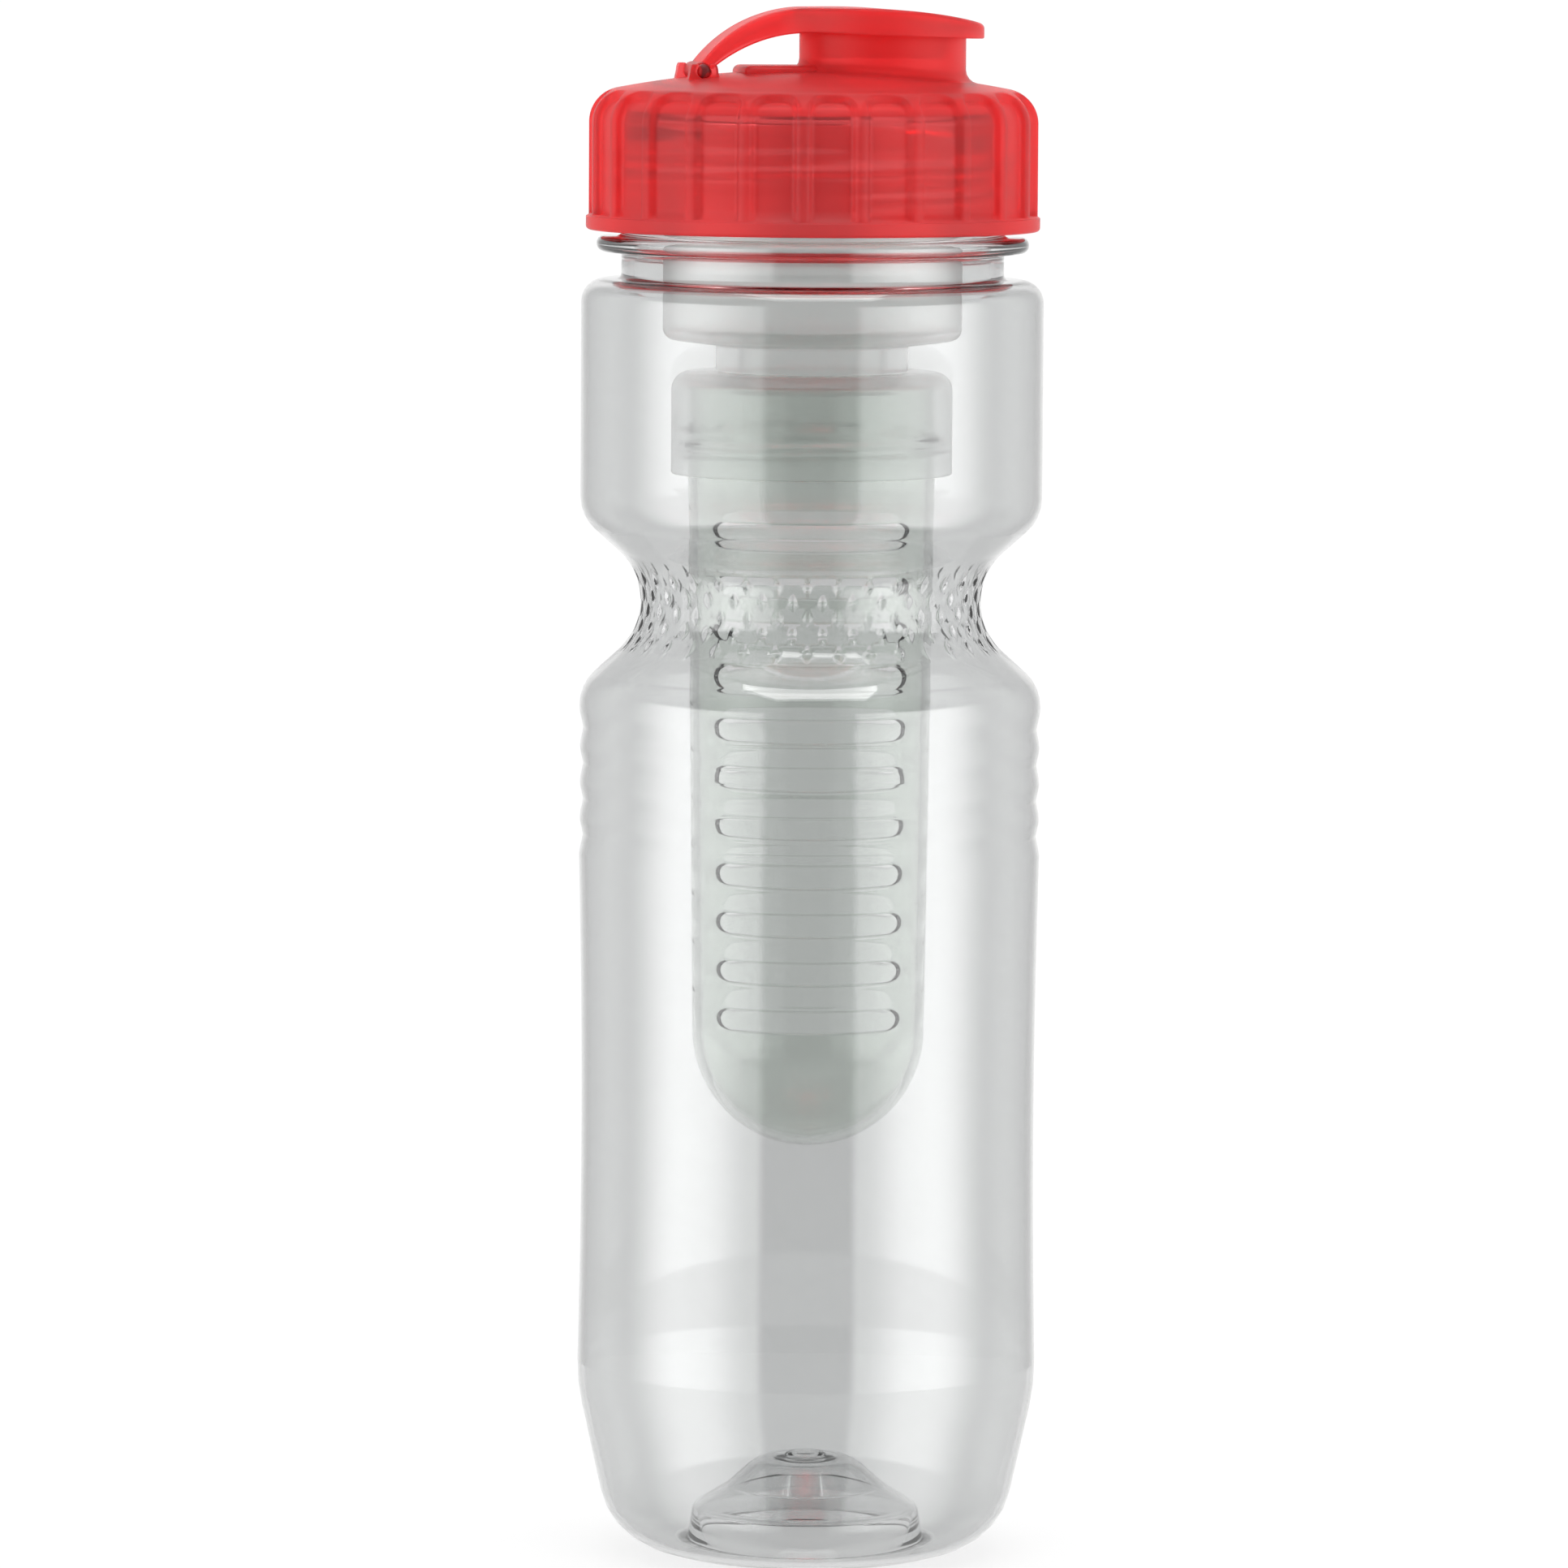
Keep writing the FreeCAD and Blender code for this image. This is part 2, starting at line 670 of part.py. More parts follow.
def make_infuser_cap():
    """The threaded collar that swivels on the insert's neck and holds the basket."""
    hole = spigot_radius + spigot_play
    cap = turned_outline([
        (cap_inner, cap_base, 0),
        (cap_radius, cap_base, 0),
        (cap_radius, cap_top, cap_corner_round),
        (hole, cap_top, 0),
        (hole, cap_underside, 0),
        (cap_inner, cap_underside, cap_corner_round - cap_wall),
    ])
    ridge = thread(cap_inner, cap_inner - infuser_thread_depth, infuser_thread_root, infuser_thread_crest,
                   infuser_pitch, infuser_turns, infuser_thread_z, 0)
    return cap.fuse(ridge)


def make_basket():
    """The slotted infuser basket: a tapered tube with a round end and a threaded rim."""
    inner = basket_radius - basket_wall
    tip_inner = basket_tip_radius - basket_wall
    ball = (0, basket_ball_z)
    edges = chain([around(ball, tip_inner, 0), (inner, cap_base), (inner, basket_top),
                   (basket_radius, basket_top), (basket_radius, cap_base),
                   around(ball, basket_tip_radius, 0)])
    for radius in (tip_inner, basket_tip_radius):
        edges.append(arc(around(ball, radius, 0), around(ball, radius, -45), around(ball, radius, -90)))
    edges.append(line(around(ball, tip_inner, -90), around(ball, basket_tip_radius, -90)))
    ridge = thread(basket_radius, basket_radius + infuser_thread_depth, infuser_thread_root,
                   infuser_thread_crest, infuser_pitch, infuser_turns,
                   infuser_thread_z + infuser_pitch / 2, 0)
    slots = []
    for index in range(slot_count):
        height = basket_top - slot_first_drop - index * slot_pitch
        slots.append(basket_slot(height, slot_half_width - index * slot_half_width_loss))
    return turned(edges).cut(slots).fuse(ridge)


def basket_slot(height, half_width):
    """A round-ended slot cutter that passes through the front and the back of the basket."""
    end_radius = slot_height / 2
    reach = half_width - end_radius
    length = 2 * basket_radius
    cutter = Part.makeBox(2 * reach, length, slot_height, Vector(-reach, -basket_radius, height - end_radius))
    for side in (-reach, reach):
        end = Part.makeCylinder(end_radius, length, Vector(side, -basket_radius, height), ACROSS)
        cutter = cutter.fuse(end)
    cutter.rotate(ORIGIN, UP, slot_turn)
    return cutter


PIECES = {
    "bottle_body": make_bottle,
    "screw_lid": make_lid,
    "lid_gasket": make_gasket,
    "flip_cap": make_flip_cap,
    "lid_insert": make_insert,
    "infuser_cap": make_infuser_cap,
    "infuser_basket": make_basket,
}

os.makedirs("parts", exist_ok=True)
for node, make in PIECES.items():
    shape = make()
    box = shape.optimalBoundingBox()
    print(node, "solids", len(shape.Solids), "valid", shape.isValid(), "volume", round(shape.Volume, 1),
          "z", round(box.ZMin, 2), round(box.ZMax, 2), "x", round(box.XMin, 2), round(box.XMax, 2))
    shape.exportStep(os.path.join("parts", node + ".step"))
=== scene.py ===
# %% [markdown]
# This lesson dresses a clear sports bottle with a red screw lid and a fruit infuser inside. The packed
# part is loaded first. It is the fixed frame that every piece below is fitted to, so nothing in it is
# moved.

# %% Load the imported part
import math

import bpy
import numpy as np
from mathutils import Matrix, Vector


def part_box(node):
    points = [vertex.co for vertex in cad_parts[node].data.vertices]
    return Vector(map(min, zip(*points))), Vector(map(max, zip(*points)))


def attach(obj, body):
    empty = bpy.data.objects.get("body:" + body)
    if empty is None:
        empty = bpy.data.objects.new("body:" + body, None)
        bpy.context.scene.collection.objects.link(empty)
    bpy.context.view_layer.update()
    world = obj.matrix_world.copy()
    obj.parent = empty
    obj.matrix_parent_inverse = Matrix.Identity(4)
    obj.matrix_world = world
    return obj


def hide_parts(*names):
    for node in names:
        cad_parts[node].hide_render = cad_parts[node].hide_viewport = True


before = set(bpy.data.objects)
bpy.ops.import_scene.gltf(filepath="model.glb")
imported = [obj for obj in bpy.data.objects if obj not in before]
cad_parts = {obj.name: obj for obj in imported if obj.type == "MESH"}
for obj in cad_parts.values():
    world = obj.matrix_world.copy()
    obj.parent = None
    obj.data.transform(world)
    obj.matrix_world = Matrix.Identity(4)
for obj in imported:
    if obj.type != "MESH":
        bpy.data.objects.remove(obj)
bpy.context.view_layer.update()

# %% [markdown]
# The frame gives every moulding's place. All the shapes below are worked out in millimetres, as a
# mould maker would draw them, and turned into metres once, when a mesh is made. Heights are read
# from the boxes of the CAD nodes, so that a dressed piece sits exactly where its solid is.

# %% Heights and radii read from the frame
MM = 0.001


def low_high(node):
    """Lowest and highest corner of a CAD node, in millimetres."""
    low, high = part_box(node)
    return np.array(low) / MM, np.array(high) / MM


bottle_high = low_high("bottle_body")[1]
lid_low, lid_high = low_high("screw_lid")
gasket_high = low_high("lid_gasket")[1]
flip_high = low_high("flip_cap")[1]
insert_low, insert_high = low_high("lid_insert")
cap_low, cap_high = low_high("infuser_cap")
basket_low, basket_high = low_high("infuser_basket")
body_radius = bottle_high[0]
mouth_z = bottle_high[2]
land_z = gasket_high[2]
spout_top = lid_high[2]
rim_z = lid_low[2]
print("mouth", round(mouth_z, 2), "spout top", round(spout_top, 2), "body radius", round(body_radius, 2))

# %% [markdown]
# Nearly everything here is turned or moulded, so a few helpers make all the surfaces. A half-section
# is a list of corners, each with a rounding. Between corners it runs straight, and each corner is an
# arc that is tangent to both sides, which is how a mould drawing gives it. Rounded corners matter for
# clear plastic: they catch the light as bright and dark lines, where a sharp edge would shade wrongly.

# %% Half-sections with rounded corners
ARC_STEP = math.radians(15)
ARC_LENGTH = 8.0
ROOM_BEFORE = 0.98
ROOM_AFTER = 0.8
STRAIGHT = 1e-6


def arc(angles, radius, centre=(0.0, 0.0)):
    """Points on a circle at the given angles, as (across, up) pairs."""
    return np.column_stack([centre[0] + radius * np.cos(angles), centre[1] + radius * np.sin(angles)])


def rounded_section(corners, inset=0.0):
    """Points of a half-section through (radius, height, rounding) corners, moved inset to the left.

    Each corner becomes an arc tangent to both runs: its reach along them is rounding x tan(turn / 2).
    A fourth value at a corner is the longest step along its arc. An arc never uses more than a share
    of the straight runs beside it.
    """
    points = np.array([corner[:2] for corner in corners], float)
    runs = np.diff(points, axis=0)
    runs /= np.linalg.norm(runs, axis=1)[:, None]
    lefts = np.column_stack([-runs[:, 1], runs[:, 0]])
    joined = lefts[:-1] + lefts[1:]
    share = 1 + (lefts[:-1] * lefts[1:]).sum(axis=1)
    points[1:-1] += joined * (inset / share)[:, None]
    points[0] += lefts[0] * inset
    points[-1] += lefts[-1] * inset

    drawn = [points[:1]]
    used = 0.0
    for index in range(1, len(points) - 1):
        before, after, corner = runs[index - 1], runs[index], points[index]
        turn = math.atan2(before[0] * after[1] - before[1] * after[0], before @ after)
        rounding = corners[index][2] - math.copysign(inset, turn)
        if corners[index][2] <= 0 or rounding <= 0 or abs(turn) < STRAIGHT:
            drawn.append(corner[None])
            used = 0.0
            continue
        room_before = np.linalg.norm(corner - points[index - 1]) - used
        room_after = np.linalg.norm(points[index + 1] - corner)
        half_tan = math.tan(abs(turn) / 2)
        used = min(rounding * half_tan, ROOM_BEFORE * room_before, ROOM_AFTER * room_after)
        radius = used / half_tan
        start = corner - before * used
        centre = start + math.copysign(radius, turn) * lefts[index - 1]
        spoke = start - centre
        across = np.array([-spoke[1], spoke[0]])
        longest = corners[index][3] if len(corners[index]) > 3 else ARC_LENGTH
        steps = max(2, math.ceil(abs(turn) / ARC_STEP), math.ceil(radius * abs(turn) / longest))
        angles = np.linspace(0, turn, steps + 1)[:, None]
        drawn.append(centre + spoke * np.cos(angles) + across * np.sin(angles))
    drawn.append(points[-1:])
    return np.concatenate(drawn)


def densify(section, longest, zones=()):
    """Adds points on long straight runs. A zone (low, high, step) has its own longest step."""
    lengths = np.linalg.norm(np.diff(section, axis=0), axis=1)
    heights = (section[:-1, 1] + section[1:, 1]) / 2
    steps = np.full(len(lengths), float(longest))
    for low, high, step in zones:
        steps[(heights > low) & (heights < high)] = step
    counts = np.maximum(1, np.ceil(lengths / steps)).astype(int)
    piece = np.repeat(np.arange(len(counts)), counts)
    along = (np.arange(counts.sum()) - np.repeat(np.cumsum(counts) - counts, counts)) / counts[piece]
    points = section[piece] + along[:, None] * (section[piece + 1] - section[piece])
    return np.concatenate([points, section[-1:]])


# %% [markdown]
# A surface is a grid of points: rows run along the half-section and columns run round the axis.
# Blender could spin a curve into the same shape, but a grid lets a thread or a dimple be added as
# plain arithmetic on the radius. The mesh is closed, and its faces are turned outwards by the sign of
# its volume, because clear plastic bends light the wrong way on a face that points inwards.

# %% From a grid of points to a closed mesh
def numbered(grid, start=0):
    """Numbers for the points of a grid, row by row, counted up from start."""
    return start + np.arange(grid.shape[0] * grid.shape[1]).reshape(grid.shape[:2])


def quads_between(rows):
    """Four-sided faces between neighbouring rows of point numbers; every row closes up on itself."""
    low, high = rows[:-1], rows[1:]
    return np.stack([low, np.roll(low, -1, axis=1), np.roll(high, -1, axis=1), high], axis=-1).reshape(-1, 4)


def stitch(few, many):
    """Triangles from a row of point numbers up to a row with three times as many."""
    after = np.roll(few, -1)
    first, second, third = many[0::3], many[1::3], many[2::3]
    following = np.roll(first, -1)
    corners = ((few, after, second), (few, second, first), (after, third, second), (after, following, third))
    return np.concatenate([np.column_stack(corner) for corner in corners])


def fan(tip, row):
    """Triangles from a row of point numbers up to a single tip."""
    return np.column_stack([row, np.roll(row, -1), np.full(len(row), tip)])


def signed_volume(points, faces):
    """Six times the volume inside a closed mesh of quads or triangles, negative if it is inside out."""
    first = points[faces[:, 0]]
    fans = [(points[faces[:, i]], points[faces[:, i + 1]]) for i in range(1, faces.shape[1] - 1)]
    return sum(float((first * np.cross(a, b)).sum()) for a, b in fans)


def placed(name, data):
    """A new object in the scene, which shows a mesh, a camera or a lamp."""
    thing = bpy.data.objects.new(name, data)
    bpy.context.scene.collection.objects.link(thing)
    return thing


def add_mesh(name, points, face_sets, smooth=True):
    """A mesh object from millimetre points and arrays of faces, with outward faces, at the origin."""
    if sum(signed_volume(points, faces) for faces in face_sets) < 0:
        face_sets = [faces[:, ::-1] for faces in face_sets]
    mesh = bpy.data.meshes.new(name)
    mesh.from_pydata((points * MM).tolist(), [], [face for faces in face_sets for face in faces.tolist()])
    mesh.polygons.foreach_set("use_smooth", [smooth] * len(mesh.polygons))
    mesh.update()
    return placed(name, mesh)


def closed_ring(name, grid):
    """A piece whose rows close up on themselves, such as a turned ring or a tube with two walls."""
    rows = numbered(grid)
    return add_mesh(name, grid.reshape(-1, 3), [quads_between(np.concatenate([rows, rows[:1]]))])


def closed_pod(name, *bands):
    """A piece whose first and last rows shrink to a point, each closed by a fan of triangles.

    It can be made of bands, where one band has three times as many columns as the next.
    """
    tips = np.stack([bands[0][0, 0], bands[-1][-1, 0]])
    bands = [bands[0][1:], *bands[1:]]
    bands[-1] = bands[-1][:-1]
    sizes = [band.shape[0] * band.shape[1] for band in bands]
    numbers = [numbered(band, start) for band, start in zip(bands, np.cumsum([0] + sizes))]
    quads = np.concatenate([quads_between(rows) for rows in numbers])
    triangles = [fan(sum(sizes), numbers[0][0])[:, ::-1], fan(sum(sizes) + 1, numbers[-1][-1])]
    for below, above in zip(numbers[:-1], numbers[1:]):
        widening = below.shape[1] < above.shape[1]
        triangles.append(stitch(below[-1], above[0]) if widening else stitch(above[0], below[-1])[:, ::-1])
    points = np.concatenate([band.reshape(-1, 3) for band in bands] + [tips])
    return add_mesh(name, points, [quads, np.concatenate(triangles)])


def turned_grid(section, angles, swell=0.0, centre_x=0.0):
    """Carries a half-section round an upright axis: x = (radius + swell) cos angle, y likewise with sin."""
    radius = section[:, :1] + swell + 0 * angles
    height = section[:, 1:] + 0 * angles
    return np.stack([centre_x + radius * np.cos(angles), radius * np.sin(angles), height], axis=-1)


def even_turn(count):
    """Evenly spaced angles for one whole turn."""
    return np.arange(count) * (2 * math.pi / count)


def settle(piece, body, node, material):
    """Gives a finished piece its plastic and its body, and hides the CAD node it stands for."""
    piece.data.materials.append(material)
    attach(piece, body)
    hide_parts(node)
    print(piece.name, "faces", len(piece.data.polygons))


# %% [markdown]
# Three kinds of plastic make up the bottle: clear, frosted and dyed. All of them, and the gasket's
# silicone, are one Principled shader. Light that goes through a moulding is tinted a little at each
# face, so two walls in a row come out darker than one, as real bottles do. Very faint cloudy patches,
# worked out from Object coordinates, keep the colour and the gloss from being perfectly even. The red
# lid has a strong tint at its faces and a dye in its volume, which is deep where the lid is thick.
# The clear bottle's tint fades to white towards the middle of its base: painted light that brightens the
# base.

# %% Plastics
PATCH_SIZE = 18.0


def fill(node, **values):
    """Fills a shader node's inputs by name, with _ for a space: outputs are linked, plain values are set."""
    for name, value in values.items():
        socket = node.inputs[name.replace("_", " ")]
        if isinstance(value, bpy.types.NodeSocket):
            node.id_data.links.new(value, socket)
        else:
            socket.default_value = value
    return node


def plastic(name, light_tint, deep_tint, clearness, low_gloss, high_gloss, bend=1.5, dye=None,
            painted_light_reach=None):
    """A see-through plastic whose tint and roughness drift between two values in soft patches.

    A dye (colour, density per metre) soaks up light along its way through the plastic. Within a painted
    light reach (in millimetres from the origin) the tint fades towards white: painted light that brightens
    the part near the origin.
    """
    material = bpy.data.materials.new(name)
    material.use_nodes = True
    nodes = material.node_tree.nodes
    place = nodes.new("ShaderNodeTexCoord").outputs["Object"]
    noise = fill(nodes.new("ShaderNodeTexNoise"), Scale=1 / (PATCH_SIZE * MM), Detail=2.0, Vector=place)
    patches = noise.outputs["Fac"]
    tint = fill(nodes.new("ShaderNodeValToRGB"), Fac=patches)
    tint.color_ramp.elements[0].color = (*deep_tint, 1)
    tint.color_ramp.elements[1].color = (*light_tint, 1)
    colour = tint.outputs["Color"]
    # Painted light: near the origin, the middle of the bottle's base, the tint is mixed towards white so that
    # the base looks brighter.
    if painted_light_reach:
        reach = fill(nodes.new("ShaderNodeMapping"), Scale=(1 / (painted_light_reach * MM),) * 3, Vector=place)
        ball = fill(nodes.new("ShaderNodeTexGradient"), Vector=reach.outputs["Vector"])
        ball.gradient_type = "SPHERICAL"
        painted_light_mix = nodes.new("ShaderNodeMix")
        painted_light_mix.data_type = "RGBA"
        fill(painted_light_mix, Factor=ball.outputs["Fac"], A=colour, B=(1, 1, 1, 1))
        colour = painted_light_mix.outputs["Result"]
    gloss = fill(nodes.new("ShaderNodeMapRange"), To_Min=low_gloss, To_Max=high_gloss, Value=patches)
    fill(nodes["Principled BSDF"], Base_Color=colour, Roughness=gloss.outputs["Result"],
         Transmission_Weight=clearness, IOR=bend)
    if dye:
        dye_colour, density = dye
        soak = fill(nodes.new("ShaderNodeVolumeAbsorption"), Color=(*dye_colour, 1), Density=density)
        fill(nodes["Material Output"], Volume=soak.outputs["Volume"])
    return material


# The clear bottle's tint is whitened within 24 mm of the middle of its base: painted light that brightens the
# base.
clear_bottle = plastic("clear_bottle", light_tint=(0.733, 0.740, 0.739), deep_tint=(0.717, 0.724, 0.723),
                       clearness=1.0, low_gloss=0.01, high_gloss=0.03, painted_light_reach=24.0)
clear_basket = plastic("clear_basket", light_tint=(0.858, 0.884, 0.858), deep_tint=(0.838, 0.864, 0.838),
                       clearness=1.0, low_gloss=0.02, high_gloss=0.05, bend=1.3)
frosted = plastic("frosted", light_tint=(0.985, 0.998, 0.990), deep_tint=(0.965, 0.978, 0.970),
                  clearness=0.96, low_gloss=0.28, high_gloss=0.34, bend=1.1)
red_lid = plastic("red_lid", light_tint=(0.96, 0.16, 0.17), deep_tint=(0.92, 0.15, 0.16),
                  clearness=0.86, low_gloss=0.30, high_gloss=0.38, bend=1.15,
                  dye=((0.99, 0.10, 0.12), 200.0))
seal_rubber = plastic("seal_rubber", light_tint=(0.70, 0.70, 0.68), deep_tint=(0.62, 0.62, 0.60),
                      clearness=0.1, low_gloss=0.45, high_gloss=0.6)
print("plastics made:", [m.name for m in (clear_bottle, clear_basket, frosted, red_lid, seal_rubber)])

# %% [markdown]
# A screw thread is a ridge that climbs one pitch for each turn. On a grid it is only a matter of how
# far each point lies from the ridge's middle line: full height near the line, a sloped flank beside
# it, nothing beyond. The ridge fades out quickly at both of its ends, as a moulded thread does.

# %% Threads as a swelling of the wall
THREAD_FADE = 0.04


def thread_swell(height, angle, start_z, start_angle, pitch, turns, root, crest, depth):
    """Ridge height above the wall: depth x flank x fade, by distance from the climbing middle line."""
    share = ((angle - start_angle) / (2 * math.pi)) % 1.0
    climb = (height - start_z) / pitch - share
    whole = np.round(climb)
    away = np.abs(climb - whole) * pitch
    turn = whole + share
    flank = np.clip((root / 2 - away) / ((root - crest) / 2), 0, 1)
    fade = np.clip(turn / THREAD_FADE, 0, 1) * np.clip((turns - turn) / THREAD_FADE, 0, 1)
    return depth * flank * fade


# %% [markdown]
# The bottle is blown in a two-part mould: a push-up base to stand on, a tapered heel, a label panel
# that is drawn in slightly, four ring grooves, a waist for the hand, a plain chest and a neck with a
# collar. A lathe would turn it from one half-section, and so does this. The same corners moved inwards
# give the inside, so the wall is even.

# %% The bottle's half-section
bottle_wall = 1.0
heel_height = 26.7
heel_angle = 12.4
panel_height = 84.6
panel_dip = 0.45
panel_round_share = 0.75
groove_count = 4
groove_pitch = 5.65
groove_depth = 0.6
waist_band = 4.0
waist_height = 26.8
waist_radius = 26.9
flank_angle = 48.0
chest_height = 37.5
neck_radius = 30.2
neck_bore = 28.2
neck_height = 4.3
collar_radius = 34.1
collar_thickness = 2.4
heel_round, heel_blend = 12.0, 30.0
recess_radius, recess_height, recess_draft, recess_round = 18.0, 6.2, 1.0, 0.8
dome_foot_radius, dome_foot_height, dome_foot_round = 12.0, 9.3, 2.0
dome_flat_radius, dome_height, dome_round = 7.0, 13.8, 5.0
gate_radius, gate_height, gate_round = 2.4, 0.6, 0.2
groove_round, crest_round = 1.2, 4.5
waist_corner_round = 7.0
shoulder_round, shoulder_blend = 3.6, 0.8

panel_top = heel_height + panel_height
groove_top = panel_top + groove_count * groove_pitch
waist_low = groove_top + waist_band
waist_mid = waist_low + waist_height / 2
waist_high = waist_low + waist_height
shoulder_z = waist_high + chest_height
collar_z = shoulder_z + neck_height
collar_top = collar_z + collar_thickness


def shell_corners(neck, waist_step):
    """Corners of the blown shell from the middle of the base up to the neck."""
    heel_ground = body_radius - heel_height * math.tan(math.radians(heel_angle))
    panel_half = panel_height / 2
    panel_bow = panel_round_share * panel_half ** 2 / (2 * panel_dip)
    flank = math.radians(flank_angle)
    waist_point = body_radius - waist_height / 2 * math.tan(flank)
    waist_round = (waist_radius - waist_point) / (1 / math.cos(flank) - 1)
    corners = [(0, dome_height + gate_height, 0),
               (gate_radius, dome_height + gate_height, gate_round),
               (gate_radius + gate_height, dome_height, gate_round),
               (dome_flat_radius, dome_height, dome_round),
               (dome_foot_radius, dome_foot_height, dome_foot_round),
               (recess_radius - recess_draft, recess_height, recess_round),
               (recess_radius, 0, recess_round),
               (heel_ground, 0, heel_round),
               (body_radius, heel_height, heel_blend),
               (body_radius - 2 * panel_dip, heel_height + panel_half, panel_bow),
               (body_radius, panel_top, crest_round)]
    for index in range(groove_count):
        valley = panel_top + groove_pitch * (index + 0.5)
        corners += [(body_radius - groove_depth, valley, groove_round),
                    (body_radius, valley + groove_pitch / 2, crest_round)]
    return corners + [(body_radius, waist_low, waist_corner_round),
                      (waist_point, waist_mid, waist_round, waist_step),
                      (body_radius, waist_high, waist_corner_round),
                      (body_radius, shoulder_z, shoulder_round),
                      (neck, shoulder_z, shoulder_blend)]


print("corners of the blown shell:", len(shell_corners(neck_radius, ARC_LENGTH)))

# %% [markdown]
# Small diamond dimples round the waist give a wet hand some grip. A bump map would only darken them,
# and clear plastic has to bend light at each one, so the wall itself is pressed in. The rows are
# staggered by half a dimple, like bricks.

# %% Grip dimples round the waist
dimple_rows = 5
dimples_per_row = 36
dimple_row_pitch = 2.55
dimple_top_z = 155.4
dimple_width = 1.9
dimple_height = 2.9
dimple_depth = 0.3
dimple_steepness = 1.8


def dimple_sink(radius, height, angle):
    """How far the wall is pressed in: a diamond, 1 - |across| - |up|, made steep, in staggered rows."""
    row = np.clip(np.round((dimple_top_z - height) / dimple_row_pitch), 0, dimple_rows - 1)
    up = np.abs(height - (dimple_top_z - row * dimple_row_pitch)) / (dimple_height / 2)
    column = angle / (2 * math.pi) * dimples_per_row + 0.5 * (row % 2)
    spacing = 2 * math.pi * radius / dimples_per_row
    across = np.abs(column - np.round(column)) * spacing / (dimple_width / 2)
    return dimple_depth * np.clip(dimple_steepness * (1 - across - up), 0, 1)


# %% [markdown]
# Now the half-section is carried round the axis. A dimple needs about sixteen columns to look round the
# edges, which would be far too many for the whole bottle, so the waist is a band of its own with three
# times as many columns, stitched to its neighbours. The neck's thread swells out of the same grid.

# %% Turn the bottle
lid_pitch = 4.5
thread_depth = 1.3
thread_start = math.radians(-88)
thread_lift = 3.4
collar_round = 1.1
mouth_round = 0.4
columns_per_dimple = 16
waist_step = 0.42
longest_run = 12.0
thread_margin, thread_step = 4.0, 0.6
bottle_thread_z = rim_z + thread_lift + lid_pitch / 2
waist_columns = columns_per_dimple * dimples_per_row

outside = rounded_section(shell_corners(neck_radius, waist_step) + [
    (neck_radius, collar_z, shoulder_blend), (collar_radius, collar_z, collar_round),
    (collar_radius, collar_top, collar_round), (neck_radius, collar_top, shoulder_blend),
    (neck_radius, mouth_z, mouth_round), (neck_bore, mouth_z, 0)])
inside_r = neck_bore + bottle_wall
inside = rounded_section(shell_corners(inside_r, ARC_LENGTH / 4) + [(inside_r, mouth_z, 0)], bottle_wall)
outside = densify(outside, longest_run, [(collar_top + thread_margin, mouth_z - thread_margin, thread_step)])
inside = densify(inside, longest_run)[::-1]
dimple_low = dimple_top_z - dimple_row_pitch * (dimple_rows - 1) - dimple_height
dimple_high = dimple_top_z + dimple_height
below = outside[outside[:, 1] < dimple_low]
dimpled = outside[(outside[:, 1] >= dimple_low) & (outside[:, 1] <= dimple_high)]
above = outside[outside[:, 1] > dimple_high]
angles = even_turn(waist_columns // 3)
fine_angles = even_turn(waist_columns)
sink = dimple_sink(dimpled[:, :1], dimpled[:, 1:], fine_angles)
ridge = thread_swell(above[:, 1:], angles, bottle_thread_z, thread_start, lid_pitch,
                     turns=1.5, root=2.0, crest=1.0, depth=thread_depth)
upper = np.concatenate([turned_grid(above, angles, ridge), turned_grid(inside[1:], angles)])
bottle = closed_pod("bottle_shell", turned_grid(below, angles), turned_grid(dimpled, fine_angles, -sink),
                    upper)
settle(bottle, "bottle", "bottle_body", clear_bottle)

# %% [markdown]
# The gasket is a flat silicone washer, held between the lid and the bottle's mouth. Two faces in exactly
# the same place confuse a ray of light and come out black, so it is drawn a hair thinner than the space
# it fills.

# %% Turn the gasket
gasket_overlap = 0.6
gasket_round = 0.4
face_gap = 0.05
gasket_columns = 180
gasket_inner = neck_bore - gasket_overlap
gasket_outer = gasket_high[0]
gasket_foot, gasket_top = mouth_z + face_gap, land_z - face_gap
gasket_start = (gasket_inner, (mouth_z + land_z) / 2, 0)
gasket_corners = [gasket_start, (gasket_inner, gasket_foot, gasket_round),
                  (gasket_outer, gasket_foot, gasket_round), (gasket_outer, gasket_top, gasket_round),
                  (gasket_inner, gasket_top, gasket_round), gasket_start]
angles = even_turn(gasket_columns)
settle(closed_ring("gasket_ring", turned_grid(rounded_section(gasket_corners)[:-1], angles)),
       "gasket", "lid_gasket", seal_rubber)

# %% [markdown]
# The lid is one moulding, and one closed grid can follow it all the way round: up the spout's bore,
# over its rim, down its outside, across the domed top, round the ribbed skirt, up the threaded inside,
# round the socket for the insert and back to the bore. The spout stands off centre, so each row is a
# circle with its own centre, and the rows of the top slide from the spout's centre to the lid's.

# %% The lid's rows
crown_radius = 165.0
crown_height = 5.4
roof_thickness = 2.3
thread_clearance = 0.6
lid_radius = 35.4
lid_corner = 5.5
lip_height = 2.2
lip_radius = lid_high[0]
rib_count = 24
rib_height = 1.2
panel_share = 0.745
panel_end = math.radians(65)
panel_corner = 2.6
grip_turn = math.radians(3.4)
spout_offset = 10.95
spout_radius = 13.15
spout_bore = 11.5
socket_wall = 1.45
socket_depth = 7.5
press_clearance = 0.05

crown_z = land_z + crown_height
crown_centre_z = crown_z - crown_radius
lid_inner = neck_radius + thread_depth + thread_clearance
socket_inner = insert_high[0] + press_clearance
socket_outer = socket_inner + socket_wall
socket_low = land_z - socket_depth
corner_r = lid_radius - lid_corner
corner_z = crown_centre_z + math.sqrt((crown_radius - lid_corner) ** 2 - corner_r ** 2)
corner_end = math.atan2(corner_z - crown_centre_z, corner_r)
lip_top = rim_z + lip_height


